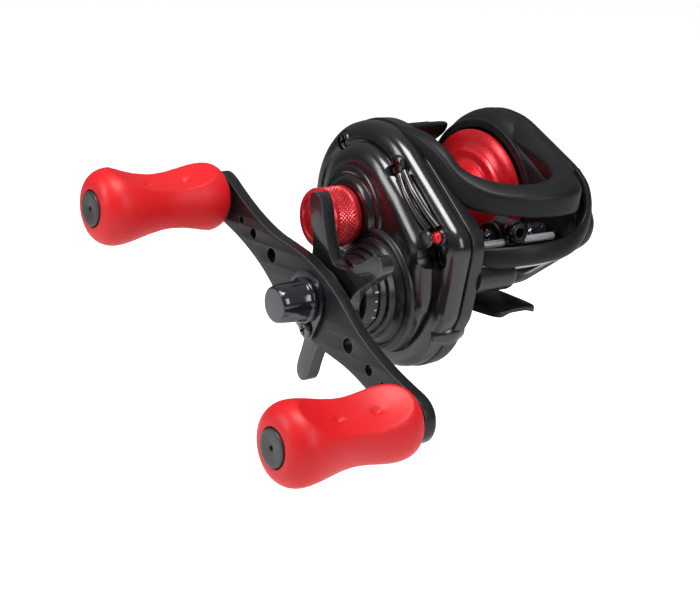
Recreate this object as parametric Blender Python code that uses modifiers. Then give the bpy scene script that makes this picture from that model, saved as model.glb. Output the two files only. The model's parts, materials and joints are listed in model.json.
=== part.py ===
# Low-profile baitcasting reel, right-hand retrieve, as separate solids.
# Built in metres, +Z up.  +X is the handle side, -X the palm side, and +Y (the
# front) is the way the line leaves.  The origin is the middle of the foot's
# seat face, under the spool axis.  Lengths below are in millimetres.
# A "centre" is the (y, z) of an axis that runs along X.
import math

import bmesh
import bpy

MM = 0.001
SIDES = 20                     # default sides of a round part


# ---------------------------------------------------------------- plane geometry
def polar(centre, radius, angle):
    return (centre[0] + radius * math.cos(angle), centre[1] + radius * math.sin(angle))


def offset(centre, angle, along, across):
    """Point at (along, across) in axes turned by angle about centre."""
    cosine, sine = math.cos(angle), math.sin(angle)
    return (centre[0] + along * cosine - across * sine,
            centre[1] + along * sine + across * cosine)


def bearing_to(start, end):
    return math.atan2(end[1] - start[1], end[0] - start[0])


def circle(centre, radius, sides=SIDES):
    return [polar(centre, radius, 2 * math.pi * k / sides) for k in range(sides)]


def hull(circles, grow=0.0, steps=36):
    """Outline of the shape round a set of circles (y, z, radius)."""
    outline = []
    for k in range(steps):
        angle = 2 * math.pi * k / steps
        cosine, sine = math.cos(angle), math.sin(angle)
        y, z, radius = max(circles, key=lambda c: c[0] * cosine + c[1] * sine + c[2])
        point = polar((y, z), radius + grow, angle)
        if not outline or math.dist(point, outline[-1]) > 0.05:
            outline.append(point)
    return outline


def gear_outline(centre, module, teeth, phase):
    """Straight-flanked tooth outline; phase is the angle of a tooth middle."""
    addendum, dedendum = 0.78, 1.05        # in modules
    thickness, flank = 0.47, 0.13          # tooth width and its taper, in pitches
    pitch_radius = module * teeth / 2
    tip_radius = pitch_radius + addendum * module
    root_radius = pitch_radius - dedendum * module
    pitch = 2 * math.pi / teeth
    root = pitch * (thickness / 2 + flank)
    tip = pitch * (thickness / 2 - flank)
    tooth = ((root_radius, -root), (tip_radius, -tip), (tip_radius, tip), (root_radius, root))
    return [polar(centre, radius, phase + k * pitch + angle)
            for k in range(teeth) for radius, angle in tooth]


# ---------------------------------------------------------------- dimensions
SPOOL_Z = 19.5                 # spool axis above the foot's seat
SPOOL = (0.0, SPOOL_Z)
SHAFT = (9.40, 3.86)           # handle shaft
WORM = (23.39, 15.89)          # level-wind worm
RAIL = (27.3, SPOOL_Z - 3.9)   # level-wind guide rail
TO_SPOOL = bearing_to(SHAFT, SPOOL)
TO_WORM = bearing_to(SHAFT, WORM)

WALL_IN, WALL_OUT = 12.8, 14.3  # frame side walls
CROSS_HALF = 13.5              # half-width of cross members, which end inside the walls
COVER_GAP = 0.3                # side wall to hood or cover
BEARING_R, SEAT_R = 4.0, 4.15  # small bearings and their seats
SHAFT_BORE = 2.55              # close bore round the handle shaft
DISC_BORE = 2.6                # looser bore of the main gear, drag discs, star and nut

# Circles (y, z, radius) whose hull makes an outline
WALL_LEFT = [(0, SPOOL_Z, 19.8), (29.0, 18.0, 4.6)]
WALL_RIGHT = [(0, SPOOL_Z, 19.8), (*SHAFT, 18.0), (28.0, 16.6, 6.2)]
HOOD_RING = [(0, SPOOL_Z, 21.6), (25.5, 17.5, 6.2), (21.8, SPOOL_Z + 6.2, 9.2)]
PALM_FRONT = [(0, SPOOL_Z, 15.3), (24.0, 17.5, 5.0)]
COVER_BASE = [(0, SPOOL_Z, 21.0), (*SHAFT, 18.5), (28.0, 16.6, 6.9)]
COVER_STEP = [(2.0, SPOOL_Z + 1.2, 16.0), (*SHAFT, 16.3), (21.0, 15.0, 5.0)]

# ---------------------------------------------------------------- scene
for old in list(bpy.data.objects):
    bpy.data.objects.remove(old, do_unlink=True)

PARTS = bpy.data.collections.new("baitcasting_reel")
CUTS = bpy.data.collections.new("cutters")
bpy.context.scene.collection.children.link(PARTS)
bpy.context.scene.collection.children.link(CUTS)

# base colour, roughness, metallic
LOOKS = {
    "gloss_black": ((0.010, 0.010, 0.012), 0.18, 0.0),
    "matte_black": ((0.035, 0.035, 0.038), 0.60, 0.0),
    "dark_metal": ((0.050, 0.050, 0.055), 0.38, 0.9),
    "black_plastic": ((0.012, 0.012, 0.013), 0.45, 0.0),
    "red_metal": ((0.560, 0.012, 0.020), 0.28, 0.9),
    "red_rubber": ((0.780, 0.015, 0.020), 0.50, 0.0),
    "steel": ((0.620, 0.620, 0.630), 0.22, 1.0),
    "brass": ((0.620, 0.440, 0.160), 0.30, 1.0),
    "carbon": ((0.030, 0.030, 0.032), 0.70, 0.0),
}


def finish(obj, look):
    """Give the object its own material and, on a mesh, smooth shading."""
    colour, roughness, metallic = LOOKS[look]
    material = bpy.data.materials.new(obj.name + "_material")
    material.use_nodes = True
    inputs = material.node_tree.nodes["Principled BSDF"].inputs
    inputs["Base Color"].default_value = (*colour, 1.0)
    inputs["Roughness"].default_value = roughness
    inputs["Metallic"].default_value = metallic
    material.diffuse_color = (*colour, 1.0)
    obj.data.materials.append(material)
    if obj.type == "MESH":
        obj.data.shade_smooth()
        obj.data.set_sharp_from_angle(angle=math.radians(35))


# ---------------------------------------------------------------- makers
def new_object(name, data):
    obj = bpy.data.objects.new(name, data)
    PARTS.objects.link(obj)
    return obj


def mesh_object(name, bm):
    mesh = bpy.data.meshes.new(name)
    bm.to_mesh(mesh)
    bm.free()
    return new_object(name, mesh)


def turned(name, profile, centre, sides=SIDES, axis="X"):
    """Profile of (along, radius) turned about a line through centre.  The line
    runs along X with centre (y, z), or along Y with centre (x, z).  A profile
    whose ends have radius 0 is a solid; any other is a closed ring."""
    points = [(radius, along) for along, radius in profile]
    area = sum(p[0] * q[1] - q[0] * p[1] for p, q in zip(points, points[1:] + points[:1]))
    if area > 0:
        points.reverse()
    edges = [(i, i + 1) for i in range(len(points) - 1)]
    if points[0][0] or points[-1][0]:
        edges.append((len(points) - 1, 0))
    mesh = bpy.data.meshes.new(name)
    mesh.from_pydata([(radius * MM, 0, along * MM) for radius, along in points], edges, [])
    obj = new_object(name, mesh)
    screw = obj.modifiers.new("turn", "SCREW")
    screw.steps = screw.render_steps = sides
    screw.use_merge_vertices = True
    screw.merge_threshold = 0.00001
    screw.use_smooth_shade = True
    if axis == "X":
        obj.location = (0, centre[0] * MM, centre[1] * MM)
        obj.rotation_euler = (0, math.pi / 2, 0)
    else:
        obj.location = (centre[0] * MM, 0, centre[1] * MM)
        obj.rotation_euler = (-math.pi / 2, 0, 0)
    return obj


def cylinder(name, start, end, radius, centre, sides=SIDES, axis="X", bevel=0.0):
    if bevel:
        profile = [(end, 0), (end, radius - bevel), (end - bevel, radius),
                   (start + bevel, radius), (start, radius - bevel), (start, 0)]
    else:
        profile = [(end, 0), (end, radius), (start, radius), (start, 0)]
    return turned(name, profile, centre, sides, axis)


def ring(name, start, end, outer, inner, centre, sides=SIDES, axis="X"):
    profile = [(end, outer), (start, outer), (start, inner), (end, inner)]
    return turned(name, profile, centre, sides, axis)


def plate(name, outline, start, end, holes=(), plane="YZ"):
    """Flat outline with holes, extruded from start to end along X (or Z for "XY")."""
    curve = bpy.data.curves.new(name, "CURVE")
    curve.dimensions = "2D"
    curve.fill_mode = "BOTH"
    curve.extrude = (end - start) * MM / 2
    for loop in [outline, *holes]:
        spline = curve.splines.new("POLY")
        spline.points.add(len(loop) - 1)
        for point, (across, up) in zip(spline.points, loop):
            point.co = (across * MM, up * MM, 0, 1)
        spline.use_cyclic_u = True
    source = new_object(name + "_curve", curve)
    middle = (start + end) * MM / 2
    if plane == "YZ":
        source.location = (middle, 0, 0)
        source.rotation_euler = (math.pi / 2, 0, math.pi / 2)
    else:
        source.location = (0, 0, middle)
    bpy.context.view_layer.update()
    depsgraph = bpy.context.evaluated_depsgraph_get()
    mesh = bpy.data.meshes.new_from_object(source.evaluated_get(depsgraph))
    # the filled curve comes out as loose caps and sides, so weld them
    bm = bmesh.new()
    bm.from_mesh(mesh)
    bmesh.ops.remove_doubles(bm, verts=bm.verts, dist=1e-6)
    bmesh.ops.recalc_face_normals(bm, faces=bm.faces)
    bm.to_mesh(mesh)
    bm.free()
    mesh.name = name
    obj = new_object(name, mesh)
    obj.matrix_world = source.matrix_world.copy()
    bpy.data.objects.remove(source, do_unlink=True)
    bpy.data.curves.remove(curve)
    return obj


def box(name, low, high):
    bm = bmesh.new()
    bmesh.ops.create_cube(bm, size=1.0)
    bmesh.ops.scale(bm, vec=[(h - l) * MM for l, h in zip(low, high)], verts=bm.verts)
    obj = mesh_object(name, bm)
    obj.location = [(h + l) * MM / 2 for l, h in zip(low, high)]
    return obj


def loft(name, sections):
    """Closed skin through sections of (x, y, z), each with the same point count."""
    bm = bmesh.new()
    rows = [[bm.verts.new([c * MM for c in point]) for point in section]
            for section in sections]
    count = len(rows[0])
    for row, following in zip(rows, rows[1:]):
        for i in range(count):
            j = (i + 1) % count
            bm.faces.new((row[i], row[j], following[j], following[i]))
    bm.faces.new(rows[0][::-1])
    bm.faces.new(rows[-1])
    bmesh.ops.recalc_face_normals(bm, faces=bm.faces)
    return mesh_object(name, bm)


def combine(target, others, operation):
    """Boolean each helper into target and move it to the cutters collection."""
    for other in others:
        modifier = target.modifiers.new(f"{operation.lower()}_{other.name}", "BOOLEAN")
        modifier.operation = operation
        modifier.solver = "EXACT"
        modifier.object = other
        other.hide_render = True
        other.display_type = "WIRE"
        PARTS.objects.unlink(other)
        CUTS.objects.link(other)


def add(target, *others):
    combine(target, others, "UNION")


def cut(target, *others):
    combine(target, others, "DIFFERENCE")


def cut_cross(screw, prefix, start, end, centre, half_length, half_width):
    """Cross slot in a screw head, from two boxes."""
    y, z = centre
    arms = ((half_length, half_width), (half_width, half_length))
    for number, (half_y, half_z) in enumerate(arms, 1):
        cut(screw, box(f"{prefix}{number}", (start, y - half_y, z - half_z),
                       (end, y + half_y, z + half_z)))


# ---------------------------------------------------------------- frame
WORM_HOLE_R = 2.9
PILLAR = (28.6, 8.7)
DECK_HALF_Y = 8.5
# front lip outline: x, y
LIP = [(-14.0, 19.0), (-14.0, 31.5), (-11.0, 35.5), (-6.0, 38.0), (0.0, 38.7),
       (6.0, 37.6), (11.0, 34.6), (13.6, 31.0), (13.6, 19.0)]
# foot stations: y, half-width, height
FOOT = ((-27.5, 3.6, 1.0), (-24.0, 5.2, 1.5), (-11.0, 6.0, 2.0),
        (11.0, 6.0, 2.0), (24.0, 5.6, 1.5), (30.7, 4.4, 0.9))


def foot_section(y, half, height):
    """Section whose underside is flat in the middle and droops to the edges."""
    edge = -half / 6.0
    return [(-half, y, edge), (-half, y, height * 0.45), (-half * 0.75, y, height),
            (half * 0.75, y, height), (half, y, height * 0.45), (half, y, edge),
            (half - 0.7, y, edge), (2.0, y, 0.0), (-2.0, y, 0.0), (-half + 0.7, y, edge)]


def build_frame():
    worm_hole = circle(WORM, WORM_HOLE_R)
    frame = plate("frame", hull(WALL_RIGHT), WALL_IN, WALL_OUT,
                  [circle(SPOOL, 4.6), circle(SHAFT, SEAT_R), worm_hole])
    deck = [(-CROSS_HALF, -DECK_HALF_Y), (CROSS_HALF, -DECK_HALF_Y),
            (CROSS_HALF, DECK_HALF_Y), (-CROSS_HALF, DECK_HALF_Y)]
    rim_outer = LIP[1:-1]
    rim_inner = [(x * 0.90, y - 1.7) for x, y in rim_outer]
    add(frame,
        plate("frame_left", hull(WALL_LEFT), -WALL_OUT, -WALL_IN,
              [circle(SPOOL, 17.7, 28), worm_hole]),
        plate("frame_deck", deck, 0.15, 2.1, plane="XY"),
        box("frame_rear", (-CROSS_HALF, -19.4, 9.0), (CROSS_HALF, -17.7, 23.5)),
        plate("frame_lip", LIP, 9.9, 11.5, plane="XY"),
        plate("frame_lip_rim", rim_outer + rim_inner[::-1], 10.5, 15.4, plane="XY"),
        cylinder("frame_pillar", 3.0, CROSS_HALF, 3.9, PILLAR, 16),
        loft("frame_foot", [foot_section(*station) for station in FOOT]))
    cut(frame,
        cylinder("cut_pillar", 2.0, 11.0, 2.3, PILLAR, 12),
        cylinder("cut_shaft_seat", 12.7, 16.0, SEAT_R, SHAFT, 18))
    finish(frame, "black_plastic")


# ---------------------------------------------------------------- top hood
# Band stations: x, rim (y, z), bulge (y, z), lower edge (y, z); z above the spool axis
BAND = (
    (12.5, 22.3, 12.4, 26.5, 9.0, 26.3, 5.2), (11.0, 24.4, 11.8, 29.2, 8.8, 29.2, 4.6),
    (8.0, 27.3, 10.9, 32.6, 8.4, 32.6, 3.8), (3.0, 30.2, 9.9, 36.0, 8.0, 35.9, 3.2),
    (-3.0, 31.3, 10.1, 38.4, 8.2, 37.4, 3.2), (-8.0, 29.8, 11.0, 38.4, 8.5, 37.0, 3.3),
    (-12.5, 26.0, 12.4, 35.7, 8.3, 34.6, 2.8), (-16.0, 21.0, 14.8, 31.3, 8.0, 31.0, 2.8))


def band_section(x, rim_y, rim_z, bulge_y, bulge_z, low_y, low_z):
    middle_y = rim_y * 0.45 + bulge_y * 0.55
    middle_z = rim_z * 0.5 + bulge_z * 0.5 + 0.9
    outer = [(rim_y, rim_z), (middle_y, middle_z), (bulge_y, bulge_z), (low_y, low_z)]
    inner = [(low_y - 1.7, low_z + 0.2), (bulge_y - 2.0, bulge_z - 1.2),
             (rim_y + 0.3, rim_z - 2.0)]
    return [(x, y, SPOOL_Z + z) for y, z in outer + inner]


def build_hood():
    """A ring round the palm-side opening and a band over the front."""
    hood = plate("top_hood", hull(HOOD_RING), -19.0, -WALL_OUT - COVER_GAP,
                 [circle(SPOOL, 17.9, 28), circle(WORM, 3.6, 16)])
    add(hood, loft("hood_band", [band_section(*station) for station in BAND]))
    finish(hood, "matte_black")


# ---------------------------------------------------------------- palm side
DIAL = (5.5, SPOOL_Z - 9.0)
# x, radius
PALM_PROFILE = [(-19.3, 0), (-19.3, 2.0), (-19.3, 20.6), (-21.0, 20.4), (-23.0, 18.6),
                (-24.6, 14.0), (-25.2, 8.0), (-25.2, 0)]


def build_palm_cover():
    palm = turned("palm_side_cover", PALM_PROFILE, SPOOL, 28)
    add(palm,
        plate("palm_front", hull(PALM_FRONT), -22.4, -19.55),
        ring("palm_boss", -19.8, -15.2, 5.4, SEAT_R, SPOOL, 18))
    cut(palm,
        ring("cut_palm_cav", -23.2, -18.0, 16.5, 8.0, SPOOL, 28),
        cylinder("cut_palm_pocket", -22.2, -15.0, SEAT_R, SPOOL, 18),
        cylinder("cut_dial_seat", -26.0, -24.0, 7.4, DIAL, 18))
    finish(palm, "matte_black")


def build_brake_dial():
    y, z = DIAL
    dial = cylinder("brake_dial", -25.8, -24.3, 7.1, DIAL, bevel=0.4)
    add(dial, box("dial_grip", (-26.6, y - 6.0, z - 0.9), (-25.4, y + 6.0, z + 0.9)))
    finish(dial, "red_metal")


# ---------------------------------------------------------------- handle-side cover
COVER_WALL = 1.7
# x, radius
TURRET_PROFILE = [(33.4, 0), (33.4, 7.9), (30.6, 8.2), (30.4, 9.6), (28.2, 9.8),
                  (28.0, 11.2), (26.0, 11.5), (24.0, 13.2), (24.0, 0)]
# screw name, seat cutter name, centre
COVER_SCREWS = (("cover_screw_top", "cut_screw_t", (-7.5, SPOOL_Z + 17.0)),
                ("cover_screw_mid", "cut_screw_r", (13.5, SPOOL_Z + 14.3)),
                ("cover_screw_front", "cut_screw_f", (28.5, SPOOL_Z - 5.4)))


def build_cover():
    cover = plate("handle_side_cover", hull(COVER_BASE), WALL_OUT + COVER_GAP, 22.2)
    add(cover,
        plate("cover_layer2", hull(COVER_STEP), 22.0, 25.0),
        cylinder("cover_cap_boss", 24.0, 26.2, 8.6, SPOOL),
        cylinder("cover_cap_thread", 24.0, 31.0, 5.4, SPOOL, 18),
        turned("cover_turret", TURRET_PROFILE, SHAFT, 24))
    cut(cover,
        plate("cut_cover_a", hull(COVER_BASE, grow=-COVER_WALL), 13.0, 20.9),
        plate("cut_cover_b", hull(COVER_STEP, grow=-COVER_WALL), 20.0, 23.6),
        cylinder("cut_turret", 20.0, 34.0, 6.45, SHAFT),
        cylinder("cut_cap", 20.0, 32.0, SEAT_R, SPOOL, 18))
    for _, cutter, centre in COVER_SCREWS:
        cut(cover, cylinder(cutter, 20.6, 23.0, 2.2, centre, 12))
    finish(cover, "gloss_black")


def build_cover_screws():
    for name, _, centre in COVER_SCREWS:
        screw = cylinder(name, 21.2, 22.6, 1.9, centre, 12, bevel=0.3)
        cut_cross(screw, name + "_s", 22.0, 23.0, centre, half_length=1.2, half_width=0.25)
        finish(screw, "gloss_black")


def build_hook_pin():
    profile = [(26.0, 0), (26.0, 1.3), (25.2, 1.5), (24.4, 0.9), (23.6, 1.5),
               (22.5, 1.5), (22.5, 0)]
    pin = turned("hook_keeper_pin", profile, (28.2, SPOOL_Z - 0.4), 12)
    finish(pin, "red_metal")


# ---------------------------------------------------------------- plain rings
# name, x start, x end, outer radius, inner radius, centre, sides, look
RINGS = (
    ("magnet_holder", -15.0, -13.4, 15.2, 9.0, SPOOL, 28, "black_plastic"),
    ("spool_bearing_left", -20.6, -18.0, BEARING_R, 1.65, SPOOL, 18, "steel"),
    ("spool_bearing_right", 26.6, 29.2, BEARING_R, 1.65, SPOOL, 18, "steel"),
    ("main_shaft_bearing", 12.9, 15.3, BEARING_R, SHAFT_BORE, SHAFT, 18, "steel"),
    ("drag_washer_inner", 19.7, 20.3, 11.0, DISC_BORE, SHAFT, 24, "carbon"),
    ("drag_pressure_plate", 20.4, 21.2, 11.0, DISC_BORE, SHAFT, 24, "steel"),
    ("drag_washer_outer", 21.3, 21.9, 10.6, DISC_BORE, SHAFT, 24, "carbon"),
    ("anti_reverse_bearing", 24.2, 30.6, 6.3, 3.75, SHAFT, 20, "steel"),
    ("worm_bush_right", 12.85, 14.9, 2.72, 1.72, WORM, 16, "black_plastic"),
    ("worm_bush_left", -14.9, -12.85, 2.72, 1.72, WORM, 16, "black_plastic"))


def build_rings():
    for name, start, end, outer, inner, centre, sides, look in RINGS:
        finish(ring(name, start, end, outer, inner, centre, sides), look)


# ---------------------------------------------------------------- spool
FLANGE_R, FLANGE_EDGE_R = 17.0, 16.2
# x, radius: outside of the +X half, from the flange in to the arbor
SPOOL_OUTSIDE = [(12.3, FLANGE_EDGE_R), (12.0, FLANGE_R), (11.2, FLANGE_R),
                 (10.5, FLANGE_EDGE_R), (7.4, 8.6), (6.6, 7.9), (5.6, 7.7), (4.6, 6.0)]
SPOOL_INSIDE = [(-9.0, 6.6), (-8.4, 1.6), (8.4, 1.6), (9.0, 6.6)]


def build_spool():
    mirrored = [(-x, radius) for x, radius in reversed(SPOOL_OUTSIDE)]
    finish(turned("spool", SPOOL_OUTSIDE + mirrored + SPOOL_INSIDE, SPOOL, 26), "red_metal")
    finish(cylinder("spool_shaft", -21.4, 30.4, 1.48, SPOOL, 12, bevel=0.3), "steel")


# ---------------------------------------------------------------- pinion and clutch
GEAR_MODULE = 0.41             # main pair
GEAR_TEETH, PINION_TEETH = 77, 12
POST_OFFSET = 7.0              # yoke posts from the spool axis
SPRING_TURNS, SPRING_STEPS = 2.5, 8
SPRING_X, SPRING_LENGTH = 22.35, 0.95
SPRING_R, WIRE_R = 1.35, 0.13
# yoke outline: across and along the line from the handle shaft to the spool axis
YOKE = ((-8.6, -1.6), (-5.0, -3.4), (5.0, -3.4), (8.6, -1.6),
        (8.6, 1.6), (5.0, 3.4), (-5.0, 3.4), (-8.6, 1.6))
# x, radius
NECK_PROFILE = [(23.4, 0), (23.4, 2.7), (22.3, 2.7), (22.3, 2.0), (21.2, 2.0),
                (21.2, 2.6), (20.4, 2.6), (20.4, 0)]
# thumb bar section: y, z above the spool axis
THUMB_BAR = ((-21.5, 12.2), (-22.3, 13.6), (-17.0, 17.4), (-12.2, 18.6),
             (-11.0, 17.4), (-12.8, 14.6))
THUMB_HALF = 12.3
# cam outline: y, z above the spool axis
CAM = ((-13.0, 6.5), (-9.5, 5.0), (-7.5, 7.5), (-10.5, 10.5), (-13.5, 9.0))
CAM_HOLE = (-10.8, SPOOL_Z + 7.9)


def build_pinion():
    # half a tooth of turn puts a gap opposite the main gear's tooth
    phase = TO_SPOOL + math.pi + math.pi / PINION_TEETH
    pinion = plate("pinion", gear_outline(SPOOL, GEAR_MODULE, PINION_TEETH, phase), 16.9, 20.6)
    add(pinion,
        turned("pinion_neck", NECK_PROFILE, SPOOL, 16),
        cylinder("pinion_tail", 14.8, 17.0, 1.98, SPOOL, 16))
    cut(pinion, cylinder("cut_pinion", 10.0, 27.0, 1.62, SPOOL, 12))
    finish(pinion, "brass")


def build_spring(name, centre):
    curve = bpy.data.curves.new(name, "CURVE")
    curve.dimensions = "3D"
    spline = curve.splines.new("POLY")
    segments = int(SPRING_TURNS * SPRING_STEPS)
    spline.points.add(segments)
    for k, point in enumerate(spline.points):
        x = SPRING_X + SPRING_LENGTH * k / segments
        y, z = polar(centre, SPRING_R, 2 * math.pi * k / SPRING_STEPS)
        point.co = (x * MM, y * MM, z * MM, 1)
    curve.bevel_depth = WIRE_R * MM
    curve.bevel_resolution = 0
    curve.use_fill_caps = True
    finish(new_object(name, curve), "steel")


def build_clutch_yoke():
    """Yoke round the pinion neck, with a post and a spring at each end."""
    posts = {"a": offset(SPOOL, TO_SPOOL, 0, POST_OFFSET),
             "b": offset(SPOOL, TO_SPOOL, 0, -POST_OFFSET)}
    outline = [offset(SPOOL, TO_SPOOL, along, across) for across, along in YOKE]
    holes = [circle(SPOOL, 2.25)] + [circle(centre, 1.15, 12) for centre in posts.values()]
    finish(plate("clutch_yoke", outline, 21.4, 22.1, holes), "black_plastic")
    for tag, centre in posts.items():
        finish(cylinder("yoke_post_" + tag, 14.6, 23.2, 0.85, centre, 12), "steel")
        build_spring("yoke_spring_" + tag, centre)


def build_thumb_bar():
    sections = [[(x, y, SPOOL_Z + z) for y, z in THUMB_BAR] for x in (-THUMB_HALF, THUMB_HALF)]
    finish(loft("thumb_bar", sections), "matte_black")


def build_clutch_cam():
    outline = [(y, SPOOL_Z + z) for y, z in CAM]
    finish(plate("clutch_cam", outline, 14.9, 15.9, [circle(CAM_HOLE, 0.9, 10)]), "steel")


# ---------------------------------------------------------------- handle shaft train
WIND_MODULE = 0.90             # level-wind pair
WIND_DRIVE_TEETH, WIND_DRIVEN_TEETH = 24, 17
WIND_X0, WIND_X1 = 15.5, 16.8
# x, radius
SHAFT_PROFILE = [(50.0, 0), (50.0, 2.0), (43.4, 2.4), (13.4, 2.4), (13.0, 2.0), (13.0, 0)]
SLEEVE_PROFILE = [(31.0, 3.6), (23.4, 3.6), (23.3, 7.5), (22.0, 7.5),
                  (22.0, SHAFT_BORE), (31.0, SHAFT_BORE)]


def build_shaft_train():
    finish(turned("drive_shaft", SHAFT_PROFILE, SHAFT, 16), "steel")
    outline = gear_outline(SHAFT, WIND_MODULE, WIND_DRIVE_TEETH, TO_WORM)
    drive = plate("worm_drive_gear", outline, WIND_X0, WIND_X1, [circle(SHAFT, SHAFT_BORE)])
    finish(drive, "black_plastic")
    # one tooth of the main gear points at the pinion
    outline = gear_outline(SHAFT, GEAR_MODULE, GEAR_TEETH, TO_SPOOL)
    gear = plate("drive_gear", outline, 17.2, 19.6, [circle(SHAFT, DISC_BORE)])
    finish(gear, "brass")
    finish(turned("drag_sleeve", SLEEVE_PROFILE, SHAFT, 18), "steel")
    nut = plate("drag_nut", circle(SHAFT, 4.4, 6), 31.4, 33.8, [circle(SHAFT, SHAFT_BORE)])
    finish(nut, "brass")


# ---------------------------------------------------------------- level wind
WORM_R, WORM_HALF, WORM_STATIONS = 2.3, 12.4, 30
GROOVE_DEPTH, GROOVE_TURNS, GROOVE_HALF = 0.55, 3.5, 11.0
GROOVE_COS = 0.80              # the groove spans angles whose cosine is above this
JOURNAL_R = 1.6
CARRIER_BORE = 2.55
GUIDE = (0.0, SPOOL_Z - 1.4)   # x, z of the line hole, which runs along Y
# y, radius
NOSE_PROFILE = [(29.6, 0), (29.6, 2.2), (28.4, 2.3), (26.9, 2.5), (24.5, 3.2), (24.5, 0)]


def worm_section(x):
    """Twelve-sided section dented by two grooves of opposite hand."""
    points = []
    for k in range(12):
        angle = 2 * math.pi * k / 12
        radius = WORM_R
        if abs(x) < GROOVE_HALF:
            for hand in (1, -1):
                phase = hand * 2 * math.pi * GROOVE_TURNS * x / (2 * GROOVE_HALF)
                excess = math.cos(angle - phase) - GROOVE_COS
                if excess > 0:
                    radius = min(radius, WORM_R - GROOVE_DEPTH * excess / 0.20)
        points.append((x, *polar(WORM, radius, angle)))
    return points


def build_worm():
    stations = [-WORM_HALF + 2 * WORM_HALF * k / WORM_STATIONS
                for k in range(WORM_STATIONS + 1)]
    worm = loft("worm_shaft", [worm_section(x) for x in stations])
    add(worm,
        cylinder("worm_end_r", 12.0, 17.6, JOURNAL_R, WORM, 12),
        cylinder("worm_end_l", -15.6, -12.0, JOURNAL_R, WORM, 12))
    finish(worm, "steel")


def build_worm_gear():
    phase = TO_WORM + math.pi + math.pi / WIND_DRIVEN_TEETH
    outline = gear_outline(WORM, WIND_MODULE, WIND_DRIVEN_TEETH, phase)
    gear = plate("worm_gear", outline, WIND_X0, WIND_X1, [circle(WORM, 1.72, 16)])
    finish(gear, "black_plastic")


def build_line_guide():
    """Carrier on the worm, with a nose for the line and a boss on the rail."""
    carrier = ring("line_guide", -3.2, 3.2, 3.9, CARRIER_BORE, WORM, 18)
    add(carrier,
        turned("guide_nose", NOSE_PROFILE, GUIDE, 18, "Y"),
        cylinder("guide_follow", -2.6, 2.6, 1.9, RAIL, 16))
    cut(carrier,
        cylinder("cut_carrier", -5.0, 5.0, CARRIER_BORE, WORM, 18),
        cylinder("cut_nose", 26.0, 31.0, 1.45, GUIDE, 16, "Y"),
        cylinder("cut_rail", -5.0, 5.0, 1.0, RAIL, 16))
    finish(carrier, "gloss_black")
    finish(ring("guide_insert", 28.4, 29.9, 1.37, 1.1, GUIDE, 16, "Y"), "steel")
    finish(cylinder("line_guide_rail", -12.7, 12.7, 0.88, RAIL, 14), "steel")


# ---------------------------------------------------------------- cast-control cap
CAP_X0, CAP_X1, CAP_R, CAP_BORE = 26.6, 35.05, 7.0, 5.6
CAP_PROFILE = [(CAP_X1, 0), (CAP_X1, 5.9), (34.4, 6.7), (33.4, CAP_R), (27.4, CAP_R),
               (CAP_X0, 6.6), (CAP_X0, CAP_BORE), (31.4, CAP_BORE), (31.4, 0)]


def build_cast_control():
    finish(turned("tension_knob", CAP_PROFILE, SPOOL, 24), "red_metal")
    finish(cylinder("tension_shim", 30.45, 31.25, 3.2, SPOOL, 16), "brass")


# ---------------------------------------------------------------- star drag
STAR_ARMS, STAR_START = 5, 32  # first arm in degrees
STAR_R = 24.0
# one arm: radius, degrees from the arm's middle
STAR_ARM = ((6.8, -36), (8.2, -24), (12.5, -10), (18.0, -6.5), (22.6, -5.5), (STAR_R, -2.5),
            (STAR_R, 2.0), (22.8, 5.0), (18.0, 7.5), (12.5, 12), (8.2, 25))
HUB_PROFILE = [(39.8, 0), (39.8, 4.8), (39.0, 6.2), (34.2, 6.2), (34.2, 0)]


def build_star_drag():
    outline = [polar(SHAFT, radius, math.radians(STAR_START + 360 / STAR_ARMS * k + degrees))
               for k in range(STAR_ARMS) for radius, degrees in STAR_ARM]
    star = plate("star_drag", outline, 35.4, 38.6)
    add(star, turned("star_hub", HUB_PROFILE, SHAFT))
    cut(star, cylinder("cut_star", 30.0, 42.0, DISC_BORE, SHAFT, 16))
    finish(star, "gloss_black")


# ---------------------------------------------------------------- handle
HANDLE_R = 40.95               # handle shaft to knob axis
HANDLE_ANGLE = math.radians(-25.03)
RETAINER_SCREW = offset(SHAFT, HANDLE_ANGLE, 3.4, -5.6)
SCREW_HOLE_R = 0.95
# along the arm from the tip to the middle, half-width
ARM_HALF = [(-46.3, 0.0), (-45.2, 2.9), (-43.4, 4.6), (-40.9, 5.4), (-36.0, 5.3),
            (-28.0, 5.7), (-18.0, 6.4), (-9.0, 7.2), (0.0, 7.5)]
# holes on each side: along the arm, radius; the last takes the knob post
ARM_HOLES = ((17.0, 1.9), (25.2, 1.4), (31.0, 1.0), (HANDLE_R, 1.75))
# x, radius
NUT_PROFILE = [(52.3, 0), (52.3, 3.4), (51.6, 4.0), (46.6, 4.3), (46.2, 4.55), (44.5, 4.6),
               (44.5, DISC_BORE), (50.3, DISC_BORE), (50.3, 0)]
SCREW_PROFILE = [(45.3, 0), (45.3, 1.2), (45.0, 1.55), (44.5, 1.6), (44.5, 0.75),
                 (41.0, 0.75), (41.0, 0)]
KNOB_X0, KNOB_X1, KNOB_R = 43.7, 76.8, 8.9
KNOB_PROFILE = [
    (KNOB_X1, 4.3), (KNOB_X1, 5.6), (76.2, 6.9), (74.8, 8.2), (72.6, KNOB_R), (69.8, KNOB_R),
    (66.0, 8.3), (61.5, 7.3), (57.0, 7.0), (52.5, 7.5), (48.5, 7.9), (45.6, 7.5), (44.2, 6.4),
    (KNOB_X0, 4.8), (KNOB_X0, 2.0), (75.6, 2.0), (75.6, 4.3)]
KNOB_CAP_PROFILE = [(77.5, 0), (77.5, 3.6), (77.2, 4.05), (75.9, 4.05), (75.9, 0)]
POST_PROFILE = [(75.2, 0), (75.2, 1.8), (73.8, 1.8), (73.8, 1.6), (43.2, 1.6),
                (40.5, 1.6), (40.5, 0)]


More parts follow.
